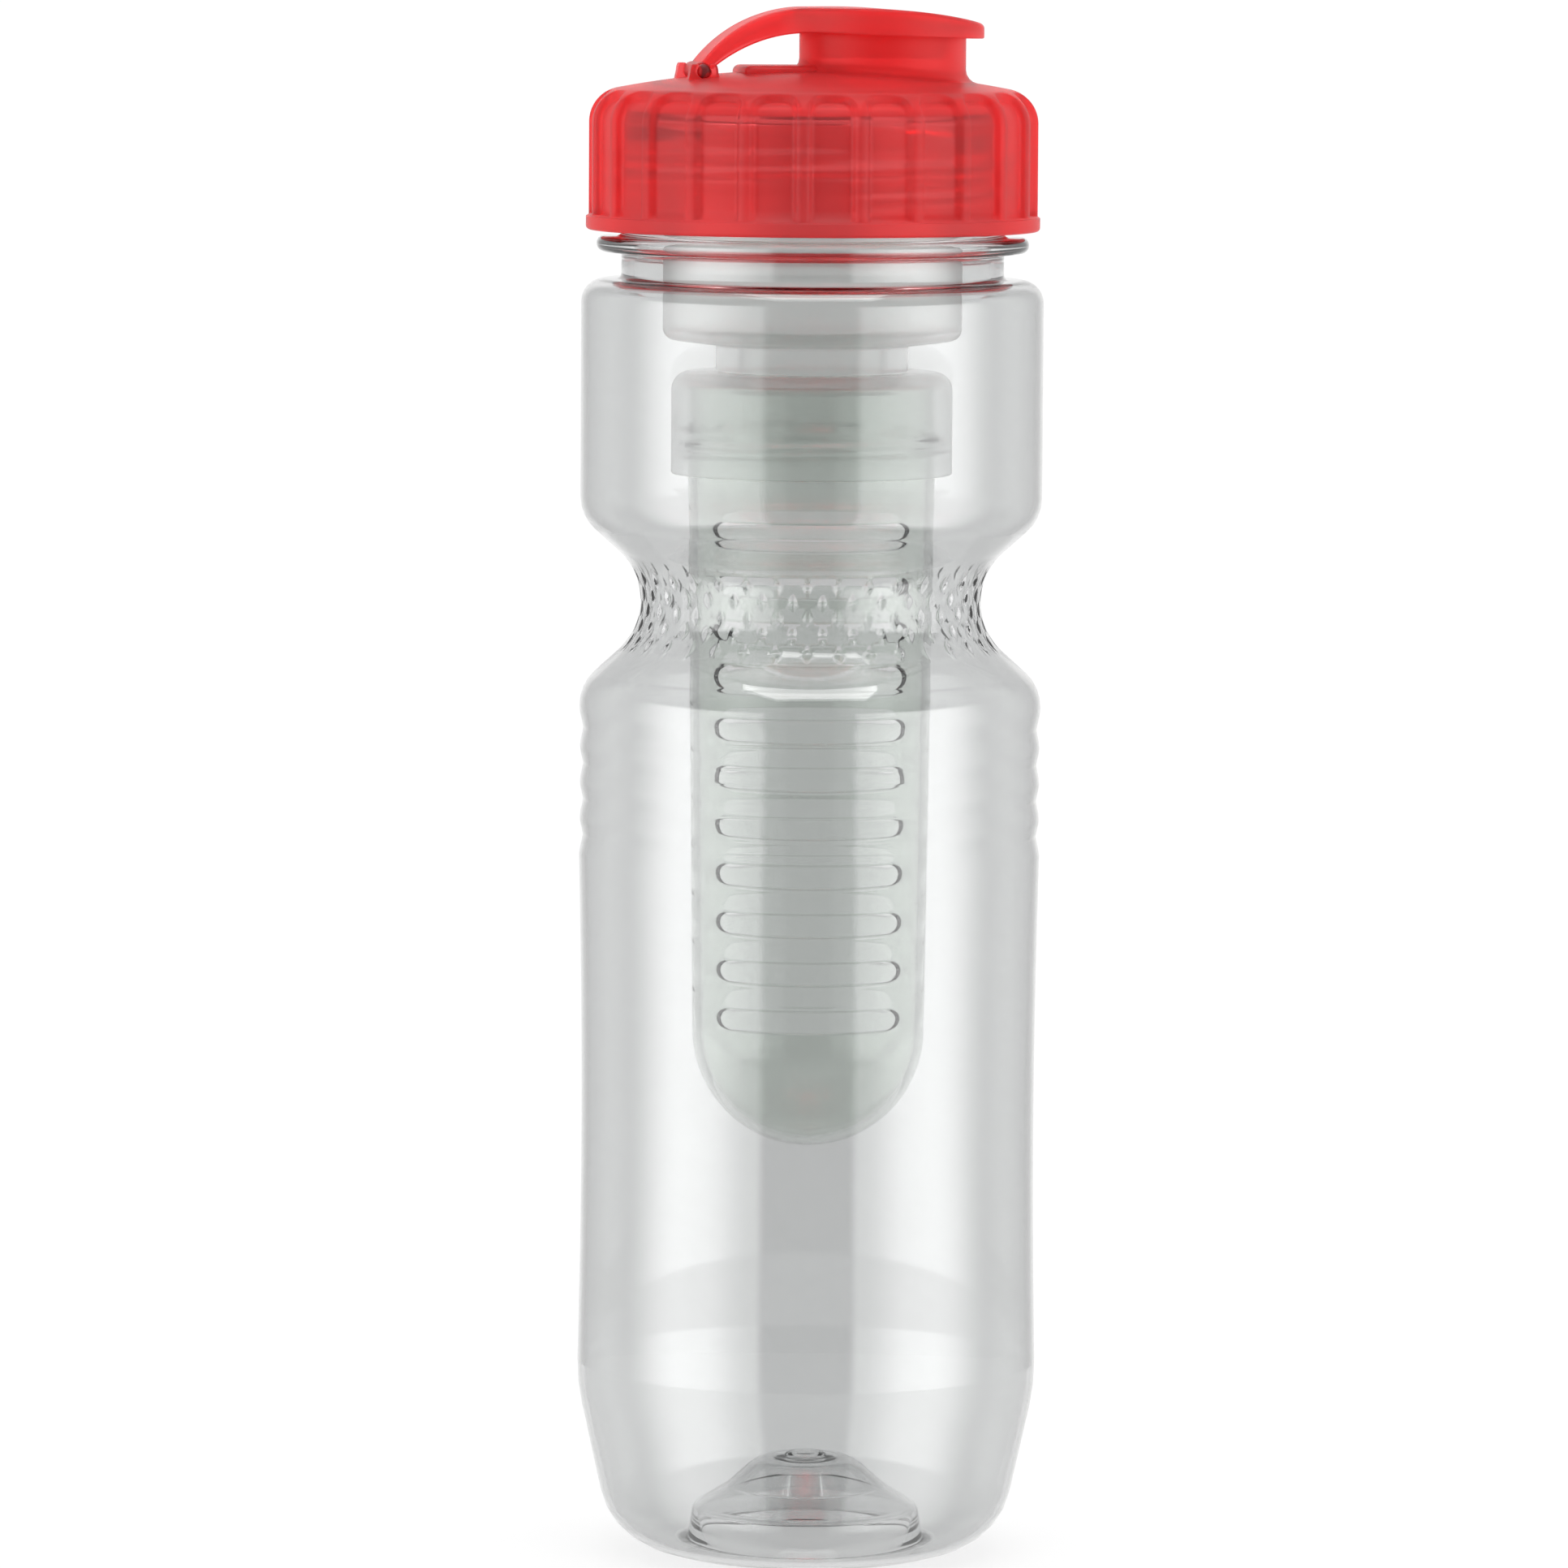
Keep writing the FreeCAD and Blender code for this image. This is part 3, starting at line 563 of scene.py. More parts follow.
def crown(x, y, depth):
    """Height of the domed top above a point, depth below its surface: a sphere about the axis."""
    return crown_centre_z + np.sqrt((crown_radius - depth) ** 2 - x ** 2 - y ** 2)


print("lid from", round(rim_z, 2), "to its crown at", round(crown_z, 2))

# %% [markdown]
# A row is written as five numbers: the circle's centre and radius, its height, how deep it lies under
# the dome, and whether it takes its height from the dome at all. Written so, the top's rows can slide
# from the spout to the rim and still lie exactly on the dome. Each edge has the small rounding that a
# mould's corner leaves.

# %% Rows across the domed top and its underside
def lid_rows(centre, radius, level=0.0, depth=0.0, on_crown=0.0):
    """Rows of the lid's grid, one for each radius; a single number holds for all of them."""
    return np.column_stack(np.broadcast_arrays(centre, radius, level, depth, on_crown))


def slide_rows(start, end, count, depth):
    """Rows that lie on the dome: centre and radius slide evenly from one circle to another."""
    along = np.linspace(0, 1, count)
    centre, radius = (a + (b - a) * along for a, b in zip(start, end))
    return lid_rows(centre, radius, depth=depth, on_crown=1.0)


def turned_rows(section, centre=0.0):
    """Rows of a plain half-section about a given centre."""
    return lid_rows(centre, section[:, 0], section[:, 1])


spout_round = 0.55
fillet = 1.8
spout_foot = 2.0
fillet_rows, top_rows, corner_row_count, wall_row_count = 5, 14, 44, 9
roof_ring_rows, roof_rows = 3, 8
lip_root_round, lip_round, rim_outer_round, rim_inner_round = 0.2, 0.35, 0.6, 0.5
land_round, land_edge_round, socket_round = 0.4, 0.2, 0.4
rim_run, land_run, roof_run = 1.5, 4.0, 0.6
wall_foot_gap, lip_lead, land_rise = 0.35, 0.3, 0.7
inner_step = 0.42

foot_angles = np.linspace(0, math.pi / 2, fillet_rows)
foot_rows = lid_rows(spout_offset, spout_radius + fillet * (1 - np.cos(foot_angles)),
                     depth=-fillet * (1 - np.sin(foot_angles)), on_crown=1.0)
spout_wall_section = rounded_section([(spout_bore, crown_z, 0), (spout_bore, spout_top, spout_round),
                                      (spout_radius, spout_top, spout_round),
                                      (spout_radius, crown_z + spout_foot, 0)])
blend_r = corner_r + lid_corner * math.cos(corner_end)
corner_angles = np.linspace(corner_end, 0, corner_row_count)
corner_section = arc(corner_angles, lid_corner, (corner_r, corner_z))
wall_foot = lip_top + wall_foot_gap
wall_section = np.column_stack([np.full(wall_row_count, lid_radius),
                                np.linspace(corner_z, wall_foot, wall_row_count + 1)[1:]])
lip_section = rounded_section([(lid_radius, lip_top + lip_lead, 0), (lid_radius, lip_top, lip_root_round),
                               (lip_radius, lip_top, lip_round), (lip_radius, rim_z, rim_outer_round),
                               (lid_inner, rim_z, rim_inner_round), (lid_inner, rim_z + rim_run, 0)])
inner_section = densify(np.array([(lid_inner, rim_z + rim_run), (lid_inner, land_z - land_run)]), inner_step)
land_section = rounded_section([(lid_inner, land_z - land_run), (lid_inner, land_z, land_round),
                                (gasket_inner, land_z, land_edge_round),
                                (gasket_inner, land_z + land_rise, 0)])
socket_high = land_z + roof_run
socket_section = rounded_section([(socket_outer, socket_high, 0), (socket_outer, socket_low, socket_round),
                                  (socket_inner, socket_low, socket_round), (socket_inner, socket_high, 0)])

blocks = [turned_rows(spout_wall_section, spout_offset), foot_rows,
          slide_rows((spout_offset, spout_radius + fillet), (0, blend_r), top_rows, 0.0)[1:],
          turned_rows(corner_section)[1:], turned_rows(wall_section), turned_rows(lip_section)[1:],
          turned_rows(inner_section)[1:], turned_rows(land_section)[1:],
          slide_rows((0, gasket_inner), (0, socket_outer), roof_ring_rows, roof_thickness),
          turned_rows(socket_section),
          slide_rows((0, socket_inner), (spout_offset, spout_bore), roof_rows, roof_thickness)]
rows = np.concatenate(blocks)
starts = np.cumsum([0] + [len(block) for block in blocks])
print("lid rows", len(rows))

# %% [markdown]
# The grip panels are shallow recesses with round upper corners, between the ribs. They could be cut with
# a Boolean, but a pressed grid has cleaner shading. Each point of the skirt knows how far up it is and
# how far sideways from the middle of its panel, and its distance to the panel's outline tells how far to
# press it in. Columns are packed closer at the rib edges, where the shape turns quickly.

# %% Grip panels and the inner thread
panel_half = math.radians(360 / rib_count * panel_share / 2) * lid_radius
panel_edge = 0.5
pitch_angle = 2 * math.pi / rib_count
half_steps = np.radians([1.4, 2.8, 3.9, 4.6, 5.1, 5.45, 5.7, 5.95, 6.6])
column_steps = np.concatenate([[-pitch_angle / 2], -half_steps[::-1], [0], half_steps])
lid_angles = (grip_turn + (np.arange(rib_count)[:, None] + 0.5) * pitch_angle + column_steps).ravel()


def panel_press(climb, angle):
    """Depth of the panel at a point: full inside a door shape with round corners, 0 past its edge.

    The distance to the outline is that of a rounded rectangle which is open at the bottom.
    """
    sideways = (((angle - grip_turn) / pitch_angle) % 1.0 - 0.5) * pitch_angle * lid_radius
    top = corner_z - lip_top + lid_corner * panel_end
    past_side = np.abs(sideways) - (panel_half - panel_corner) + 0 * climb
    past_top = climb - (top - panel_corner) + 0 * sideways
    outside_by = np.hypot(np.maximum(past_side, 0), np.maximum(past_top, 0)) - panel_corner
    outside_by = outside_by + np.minimum(np.maximum(past_side, past_top), 0)
    ease = np.clip((panel_edge - outside_by) / (2 * panel_edge), 0, 1)
    return rib_height * ease * ease * (3 - 2 * ease)


centre, radius, level, depth, on_crown = (rows[:, i:i + 1] for i in range(5))
lean = np.zeros(len(rows))
climb = np.full(len(rows), -1.0)
corner_rows = slice(starts[3], starts[4])
wall_rows = slice(starts[4], starts[5])
lean[corner_rows] = corner_angles[1:]
climb[corner_rows] = corner_z - lip_top + lid_corner * corner_angles[1:]
climb[wall_rows] = wall_section[:, 1] - lip_top
ribbed = climb >= 0
press = np.where(ribbed[:, None], panel_press(climb[:, None], lid_angles), 0.0)
lean = lean[:, None]
inner_rows = np.zeros(len(rows), bool)
inner_rows[starts[6]:starts[7]] = True
lid_ridge = thread_swell(level, lid_angles, rim_z + thread_lift, thread_start, lid_pitch,
                         turns=2.0, root=2.6, crest=1.4, depth=thread_depth)
reach = radius - press * np.cos(lean) - np.where(inner_rows[:, None], lid_ridge, 0.0)
x = centre + reach * np.cos(lid_angles)
y = reach * np.sin(lid_angles)
z = np.where(on_crown > 0, crown(x, y, depth), level - press * np.sin(lean))
settle(closed_ring("lid_shell", np.stack([x, y, z], axis=-1)), "lid", "screw_lid", red_lid)

# %% [markdown]
# Beside the spout a low pad lies under the strap. A cube with a Bevel modifier would do, but the same
# rows that make everything else can lift a rounded rectangle and carry it over a round shoulder.

# %% Raised pad
shoulder_rows = 6


def lifted_pad(name, outline, base_z, top_z, rounding):
    """A flat-topped pad: the outline, carried up a side and over a quarter-round, then to the middle."""
    middle = outline.mean(axis=0)
    span = np.abs(outline - middle).max(axis=0)
    turn = np.linspace(0, math.pi / 2, shoulder_rows)[:, None, None]
    inset = (1 - rounding * (1 - np.cos(turn)) / span)
    shoulder = middle + (outline - middle) * inset
    lift = np.broadcast_to(top_z - rounding * (1 - np.sin(turn)), shoulder.shape[:2] + (1,))
    ring = np.concatenate([shoulder, lift], axis=-1)
    foot = np.concatenate([outline, np.full((len(outline), 1), base_z)], axis=-1)[None]
    low = np.broadcast_to([*middle, base_z], foot.shape)
    high = np.broadcast_to([*middle, top_z], foot.shape)
    return closed_pod(name, np.concatenate([low, foot, ring, high]))


def rounded_box(low, high, rounding, per_corner=6):
    """A rectangle with round corners, as points in order round it."""
    turn = np.linspace(0, math.pi / 2, per_corner)
    quarter = np.arange(4) * math.pi / 2
    angle = (quarter[:, None] + turn).ravel()
    inner_low, inner_high = np.array(low) + rounding, np.array(high) - rounding
    centres = np.array([[inner_high[0], inner_high[1]], [inner_low[0], inner_high[1]],
                        [inner_low[0], inner_low[1]], [inner_high[0], inner_low[1]]])
    return np.repeat(centres, per_corner, axis=0) + arc(angle, rounding)


pad_start, pad_end, pad_half_width = -12.0, 4.0, 7.5
pad_corner, pad_shoulder = 1.2, 1.0
pad_rise, pad_sink = 0.7, 1.6
pad_outline = rounded_box((pad_start, -pad_half_width), (pad_end, pad_half_width), pad_corner)
pad = lifted_pad("spout_pad", pad_outline, crown_z - pad_sink, crown_z + pad_rise, pad_shoulder)
settle(pad, "lid", "screw_lid", red_lid)

# %% [markdown]
# Two open clips hold the flip top's hinge bar. Each is a flat outline with some thickness: a foot that
# leans in to a round eye, cut open at the top so that the bar can be snapped in. A Bevel modifier takes
# the sharpness off its edges.

# %% Hinge clips
hinge_x, hinge_drop = -18.6, 0.2
hinge_z = crown_z - hinge_drop
ear_inner, ear_outer = 5.8, 8.2
ear_radius, ear_rise = 2.2, 1.15
seat_radius, mouth_half = 1.15, 0.9
foot_half, foot_drop = 2.7, 2.4
eye_points, seat_points = 8, 24
clip_bevel = 0.12


def clip_outline():
    """A clip seen from the side: foot, round eye, two lips and the round seat, in order."""
    tip = math.asin(ear_rise / ear_radius)
    seat_tip = math.asin(math.sqrt(seat_radius ** 2 - mouth_half ** 2) / seat_radius)
    right = arc(np.linspace(0, tip, eye_points), ear_radius)
    bowl = arc(np.linspace(seat_tip, -math.pi - seat_tip, seat_points), seat_radius)
    left = right[::-1] * [-1, 1]
    lips = np.array([[mouth_half, ear_rise]])
    feet = np.array([[-foot_half, -foot_drop], [foot_half, -foot_drop]])
    return np.concatenate([right, lips, bowl, lips * [-1, 1], left, feet]) + [hinge_x, hinge_z]


def plate(name, outline, low_y, high_y):
    """A flat outline in X and Z given a thickness along Y, with its edges slightly bevelled."""
    count = len(outline)
    near = np.insert(outline, 1, low_y, axis=1)
    far = np.insert(outline, 1, high_y, axis=1)
    column = np.arange(count)
    following = (column + 1) % count
    sides = np.column_stack([column, following, following + count, column + count])
    caps = np.stack([column[::-1], column + count])
    piece = add_mesh(name, np.concatenate([near, far]), [sides, caps], smooth=False)
    bevel = piece.modifiers.new("soft edges", "BEVEL")
    bevel.width = clip_bevel * MM
    bevel.segments = 2
    return piece


for side, low_y in (("front", -ear_outer), ("back", ear_inner)):
    clip = plate("hinge_clip_" + side, clip_outline(), low_y, low_y + ear_outer - ear_inner)
    settle(clip, "lid", "screw_lid", red_lid)

# %% [markdown]
# The flip top is a disc with a strap that arches down to the hinge. Seen from above it is one outline,
# and seen from the side its top is an arc down to the hinge, a short flat and a gently falling crown.
# So each point takes its place in the outline from above and its height from the side view, which comes
# first. Two heights are needed, for the web's faces and for the lower edge of the skirt round it.

# %% Side view of the flip top
strap_half, strap_bend, strap_flare = 5.5, 22.0, 8.0
web, skirt = 1.7, 1.3
disc_overhang, disc_crown, crown_lead = 2.85, 95.0, 6.0
skirt_lap_near, skirt_lap_far = 0.2, 1.1
disc_top = flip_high[2]
disc_radius = spout_radius + disc_overhang
tip_x = spout_offset + disc_radius
bend_z = disc_top - strap_bend
bend_x = hinge_x + math.sqrt((strap_bend - web / 2) ** 2 - (hinge_z - bend_z) ** 2)
crown_start = spout_offset - crown_lead
near_z, far_z = spout_top - skirt_lap_near, spout_top - skirt_lap_far
hinge_lean = math.atan2(hinge_z - bend_z, hinge_x - bend_x)
tail_x = bend_x + (strap_bend - web) * math.cos(hinge_lean)
tail_z = bend_z + (strap_bend - web) * math.sin(hinge_lean)
rail_z = (near_z ** 2 - tail_z ** 2 - (bend_x - tail_x) ** 2) / (2 * (near_z - tail_z))


def top_height(x, drop):
    """Height of the web, drop below its upper face: strap arc, then flat, then the disc's crown arc."""
    bend = np.sqrt(np.maximum((strap_bend - drop) ** 2 - np.minimum(x - bend_x, 0) ** 2, 0))
    fall = np.sqrt((disc_crown - drop) ** 2 - np.maximum(x - crown_start, 0) ** 2)
    return bend_z + bend + fall - (disc_crown - drop)


def skirt_height(x):
    """Height of the skirt's lower edge: an arc under the strap, then a line that falls to the tip."""
    rail = np.sqrt((near_z - rail_z) ** 2 - np.minimum(x - bend_x, 0) ** 2) + rail_z
    return rail + (far_z - near_z) * np.maximum(x - bend_x, 0) / (tip_x - bend_x)


print("flip top from the hinge at", hinge_x, "to its tip at", round(tip_x, 2))

# %% [markdown]
# From above, the disc is a circle and the strap is straight, and a round flare on each side joins them,
# as a mould maker would draw it with a compass. Only one half is worked out. The other is its mirror
# image, so both sides always match.

# %% Outline of the flip top from above
disc_points, flare_points, strap_points, tail_points = 40, 14, 22, 7


def flip_outline(inset):
    """Points round the disc, along a flare and down the strap, then back on the other side."""
    half, disc, flare = strap_half - inset, disc_radius - inset, strap_flare + inset
    flare_y = strap_half + strap_flare
    flare_x = spout_offset - math.sqrt((disc_radius + strap_flare) ** 2 - flare_y ** 2)
    meet = math.atan2(flare_y, flare_x - spout_offset)
    round_disc = np.linspace(0, meet, disc_points)
    round_flare = np.linspace(meet - math.pi, -math.pi / 2, flare_points)[1:]
    along = np.linspace(flare_x, hinge_x, strap_points)[1:]
    tail = np.linspace(half, 0, tail_points)[1:]
    upper = np.concatenate([
        arc(round_disc, disc, (spout_offset, 0)), arc(round_flare, flare, (flare_x, flare_y)),
        np.column_stack([along, np.full(len(along), half)]),
        np.column_stack([np.full(len(tail), hinge_x), tail])])
    return np.concatenate([upper, upper[-2:0:-1] * [1, -1]])


print("points round the flip top:", len(flip_outline(0.0)))

# %% [markdown]
# The outline now grows from the middle of the disc to its edge, goes over a round edge, down the skirt,
# round its foot and back under the web to the middle. Each row is the same outline, drawn in a little
# and set at its own height.

# %% Carry the outline over the top, down the skirt and back underneath
edge_round, under_round = 0.7, 0.3
top_row_count, edge_row_count, under_row_count = 16, 6, 14
heart = np.array([spout_offset, 0.0])


def flip_row(inset, share, height):
    """One row: the outline drawn in by inset and shrunk to a share of its size, at a given height."""
    plan = heart + (flip_outline(inset) - heart) * share
    return np.column_stack([plan, height(plan[:, 0])])


def edge_row(inset, surface, lift):
    """A row at full size, drawn in by inset, a fixed lift above a surface's height."""
    return flip_row(inset, 1, lambda x: surface(x) + lift)


def upper_face(x):
    """Height of the web's upper face."""
    return top_height(x, 0)


def lower_face(x):
    """Height of the web's lower face."""
    return top_height(x, web)


turn = np.linspace(0, math.pi / 2, edge_row_count)
rise, run = 1 - np.sin(turn), 1 - np.cos(turn)
flip_rows = [flip_row(edge_round, share, upper_face) for share in np.linspace(0, 1, top_row_count)]
flip_rows += [edge_row(edge_round * a, upper_face, -edge_round * b) for a, b in zip(rise[1:], run[1:])]
flip_rows += [edge_row(under_round * b, skirt_height, under_round * a) for a, b in zip(rise, run)]
flip_rows += [edge_row(skirt - under_round * a, skirt_height, under_round * b)
              for a, b in zip(rise[1:], run[1:])]
flip_rows += [flip_row(skirt, share, lower_face) for share in np.linspace(1, 0, under_row_count)]
settle(closed_pod("flip_shell", np.array(flip_rows)), "flip", "flip_cap", red_lid)

# %% [markdown]
# Under the disc a hollow, slightly tapered plug closes the spout, with a flat seat round it that rests on
# the spout's rim. It is a turned ring whose upper end runs up into the web, so that the two read as one
# moulding.

# %% Plug
plug_depth, plug_wall, plug_fit_gap, plug_taper = 4.1, 1.2, 0.15, 1.05
seat_gap, seat_width, seat_rise = 0.05, 1.95, 0.6
plug_inner_round, plug_tip_round, plug_top_round, seat_round = 0.4, 0.5, 0.15, 0.2
plug_columns = 160
plug_low = spout_top - plug_depth
plug_top = spout_bore - plug_fit_gap
plug_tip = plug_top - plug_taper
plug_inner = plug_tip - plug_wall
seat_z = spout_top + seat_gap
seat_r = plug_top + seat_width
plug_section = rounded_section([
    (plug_inner, seat_z, 0), (plug_inner, plug_low, plug_inner_round), (plug_tip, plug_low, plug_tip_round),
    (plug_top, seat_z, plug_top_round), (seat_r, seat_z, seat_round), (seat_r, seat_z + seat_rise, 0)])
angles = even_turn(plug_columns)
plug_grid = turned_grid(plug_section, angles, centre_x=spout_offset)
sunk = turned_grid(np.array([(seat_r, 0.0), (plug_inner, 0.0)]), angles, centre_x=spout_offset)
sunk[..., 2] = top_height(sunk[..., 0], web) + web / 3
settle(closed_ring("spout_plug", np.concatenate([plug_grid, sunk])), "flip", "flip_cap", red_lid)

# %% [markdown]
# The strap ends in a thick barrel, and a thinner bar sticks out of it on both sides into the clips. Both
# are turned about the hinge's own axis, with their ends rounded.

# %% Hinge bar
bar_columns = 32


def bar(name, radius, half_length, end_round):
    """A round bar along Y through the hinge, with rounded ends."""
    section = rounded_section([(0, -half_length, 0), (radius, -half_length, end_round),
                               (radius, half_length, end_round), (0, half_length, 0)])
    turn = even_turn(bar_columns)
    along = np.broadcast_to(section[:, 1:], (len(section), bar_columns))
    grid = np.stack([hinge_x + section[:, :1] * np.cos(turn), along, hinge_z + section[:, :1] * np.sin(turn)],
                    axis=-1)
    return closed_pod(name, grid)


barrel_radius, barrel_round = 1.4, 0.25
trunnion_radius, trunnion_round = 1.1, 0.8
for name, radius, half_length, end_round in (("hinge_barrel", barrel_radius, strap_half, barrel_round),
                                             ("hinge_bar", trunnion_radius, ear_outer, trunnion_round)):
    settle(bar(name, radius, half_length, end_round), "flip", "flip_cap", red_lid)

# %% [markdown]
# The frosted cup presses up into the lid, and the infuser hangs from its neck. It is a turned shape, so
# one closed half-section makes it: up the neck's bore, round the snap lip, up the outside and down the
# inside. Its edges are rounded a little more than on a drawing, because frosted plastic shows its edges
# as soft bright lines.

# %% Turn the insert
insert_r, insert_top, lip_low = insert_high[0], insert_high[2], insert_low[2]
cap_top = cap_high[2]
insert_wall, insert_height, insert_floor, floor_cone = 1.3, 37.3, 1.5, 1.1
insert_neck_r, spigot_r, bore_r = 15.2, 12.4, 10.8
snap_lip, snap_lip_height = 1.0, 1.2
snap_round, snap_tip_round, snap_root_round = 0.2, 0.15, 0.1
neck_round, cup_round, cup_rim_round, cup_inner_round, bore_round = 0.3, 1.8, 0.4, 0.8, 0.4
infuser_columns = 220
longest_insert_run = 5.0

cup_base = insert_top - insert_height
floor_z = cup_base + insert_floor
wall_inner = insert_r - insert_wall
lip_top_z = lip_low + snap_lip_height
seat_top = cap_top + seat_gap
bore_start = (bore_r, (floor_z + lip_low) / 2, 0)
insert_corners = [bore_start, (bore_r, lip_low, snap_round), (spigot_r, lip_low, snap_round),
                  (spigot_r + snap_lip, lip_top_z, snap_tip_round), (spigot_r, lip_top_z, snap_root_round),
                  (spigot_r, seat_top, snap_root_round), (insert_neck_r, seat_top, neck_round),
                  (insert_neck_r, cup_base, neck_round), (insert_r, cup_base + floor_cone, cup_round),
                  (insert_r, insert_top, cup_rim_round), (wall_inner, insert_top, cup_rim_round),
                  (wall_inner, floor_z + floor_cone, cup_inner_round), (bore_r, floor_z, bore_round),
                  bore_start]
angles = even_turn(infuser_columns)
insert_section = densify(rounded_section(insert_corners), longest_insert_run)[:-1]
insert = closed_ring("insert_cup", turned_grid(insert_section, angles))
settle(insert, "insert", "lid_insert", frosted)

# %% [markdown]
# The frosted collar swivels on that neck and screws onto the basket, so it is a short cup upside down,
# with a hole in its roof and a fine thread inside. Rows are packed closer where the thread runs.

# %% Turn the infuser cap
cap_wall, cap_roof, spigot_play = 1.3, 1.8, 0.1
cap_edge_round, cap_corner_round, cap_inner_round = 0.3, 2.8, 1.5
infuser_pitch, infuser_turns, infuser_depth = 2.5, 1.5, 0.9
infuser_root, infuser_crest, infuser_lead = 1.1, 0.6, 2.0
cap_thread_low, cap_thread_high, infuser_step = 0.6, 8.0, 0.3
cap_start_rise, longest_cap_run = 6.0, 4.0

cap_r, cap_base = cap_high[0], cap_low[2]
infuser_thread_z = cap_base + infuser_lead
cap_inner = cap_r - cap_wall
cap_under = cap_top - cap_roof
hole_r = spigot_r + spigot_play
cap_start = (cap_inner, cap_base + cap_start_rise, 0)
cap_corners = [cap_start, (cap_inner, cap_base, cap_edge_round), (cap_r, cap_base, cap_edge_round),
               (cap_r, cap_top, cap_corner_round), (hole_r, cap_top, cap_edge_round),
               (hole_r, cap_under, cap_edge_round), (cap_inner, cap_under, cap_inner_round), cap_start]
cap_zone = (cap_base + cap_thread_low, cap_base + cap_thread_high, infuser_step)
cap_section = densify(rounded_section(cap_corners), longest_cap_run, [cap_zone])[:-1]
inner_wall = (cap_section[:, :1] < cap_inner + spigot_play) & (cap_section[:, 1:] < cap_under - infuser_lead)
ridge = thread_swell(cap_section[:, 1:], angles, infuser_thread_z, 0.0, infuser_pitch, infuser_turns,
                     infuser_root, infuser_crest, infuser_depth)
settle(closed_ring("infuser_collar", turned_grid(cap_section, angles, -np.where(inner_wall, ridge, 0.0))),
       "collar", "infuser_cap", frosted)

# %% [markdown]
# The basket is a tapered tube with a round end and eleven wide slots through its front and its back.
# A Boolean cut would leave long thin faces that shade badly in clear plastic, so each slot gets its own
# patch: half the tube's girth, one slot's pitch high, drawn as rings that grow from the slot's round-ended
# outline to the patch's edge. Patches with the same count of points along their edges meet exactly.

# %% The basket's shape and its slot patches
basket_r, tip_r, basket_wall = 19.5, 18.4, 1.4
slot_count = 11
slot_first_drop, slot_last_rise = 23.1, 21.45
slot_height = 3.9
slot_half_first, slot_half_loss = 15.0, 0.1
slot_turn = math.radians(-9)
slot_round = 0.32
edge_top, edge_side, ring_count, round_rings = 56, 10, 5, 4
END_CROWDING = 0.4

ball_z = basket_low[2] + tip_r
basket_top = basket_high[2]
slot_first = basket_top - slot_first_drop
slot_last = basket_low[2] + slot_last_rise
slot_pitch = (slot_first - slot_last) / (slot_count - 1)


def tube_radius(height, wall):
    """Outer radius of the tube less wall: straight above, tapered below, as a function of height."""
    taper = np.clip((height - ball_z) / (cap_base - ball_z), 0, 1)
    return tip_r + (basket_r - tip_r) * taper - wall


def patch_edge():
    """The patch's edge as (angle share -1..1, height share -1..1), clockwise from its upper left."""
    top = np.linspace(-1, 1, edge_top, endpoint=False)
    side = np.linspace(1, -1, edge_side, endpoint=False)
    half = np.concatenate([np.column_stack([top, np.ones(edge_top)]),
                           np.column_stack([np.ones(edge_side), side])])
    return np.concatenate([half, -half])


def slot_edge(half_width, grow):
    """The slot's outline, grown or shrunk, as (sideways, height), point for point with the patch's edge.

    Points are crowded towards the round ends by an odd cubic of the even spacing.
    """
    end = slot_height / 2 + grow
    reach = half_width - slot_height / 2
    even = np.linspace(-1, 1, edge_top, endpoint=False)
    top = ((1 + END_CROWDING) * even - END_CROWDING * even ** 3) * (reach + end * math.sqrt(0.5))
    over = np.maximum(np.abs(top) - reach, 0)
    turn = np.linspace(math.pi / 4, -math.pi / 4, edge_side, endpoint=False)
    upper = np.column_stack([top, np.sqrt(end ** 2 - over ** 2)])
    right = arc(turn, end, (reach, 0))
    return np.concatenate([upper, right, -upper, -right])


def slot_patch(index, facing, skin, inwards):
    """Rings from slot to patch edge on one skin, as x, y, z; facing 0 is front, pi is back.

    The first rings go over the slot's rounded edge, a quarter-round from the slot's wall to the skin.
    """
    turn = np.linspace(0, math.pi / 2, round_rings)
    grow = np.append(-slot_round * np.cos(turn), np.zeros(ring_count))
    wall = skin + inwards * np.append(slot_round * (1 - np.sin(turn)), np.zeros(ring_count))[:, None]
    share = np.append(np.zeros(len(turn)), np.linspace(0, 1, ring_count + 1)[1:])[:, None]
    middle = slot_first - index * slot_pitch
    hole = np.stack([slot_edge(slot_half_first - index * slot_half_loss, step) for step in grow])
    frame_edge = patch_edge()
    height = middle + (1 - share) * hole[..., 1] + share * frame_edge[:, 1] * slot_pitch / 2
    hole_angle = np.arcsin(hole[..., 0] / tube_radius(middle + hole[..., 1], wall))
    angle = (1 - share) * hole_angle + share * frame_edge[:, 0] * math.pi / 2
    heading = slot_turn + facing - math.pi / 2 + angle
    radius = tube_radius(height, wall)
    return np.stack([radius * np.cos(heading), radius * np.sin(heading), height], axis=-1)


print("slots every", round(slot_pitch, 2), "mm from", round(slot_first, 2), "down to", round(slot_last, 2))

# %% [markdown]
# Above the slots the tube runs up to a threaded rim, and below them it closes with a round end like a
# test tube's. These bands are plain turned grids, whose columns stand at the same angles as the points
# on the patches' edges, so that they meet point for point.

# %% Plain bands above and below the patches
rim_round = 0.4
basket_thread_low, basket_thread_high = 1.5, 9.0
longest_basket_run = 3.0
ball_rows = 22
SAME_PLACE = 0.05
MERGE_DIGITS = 3

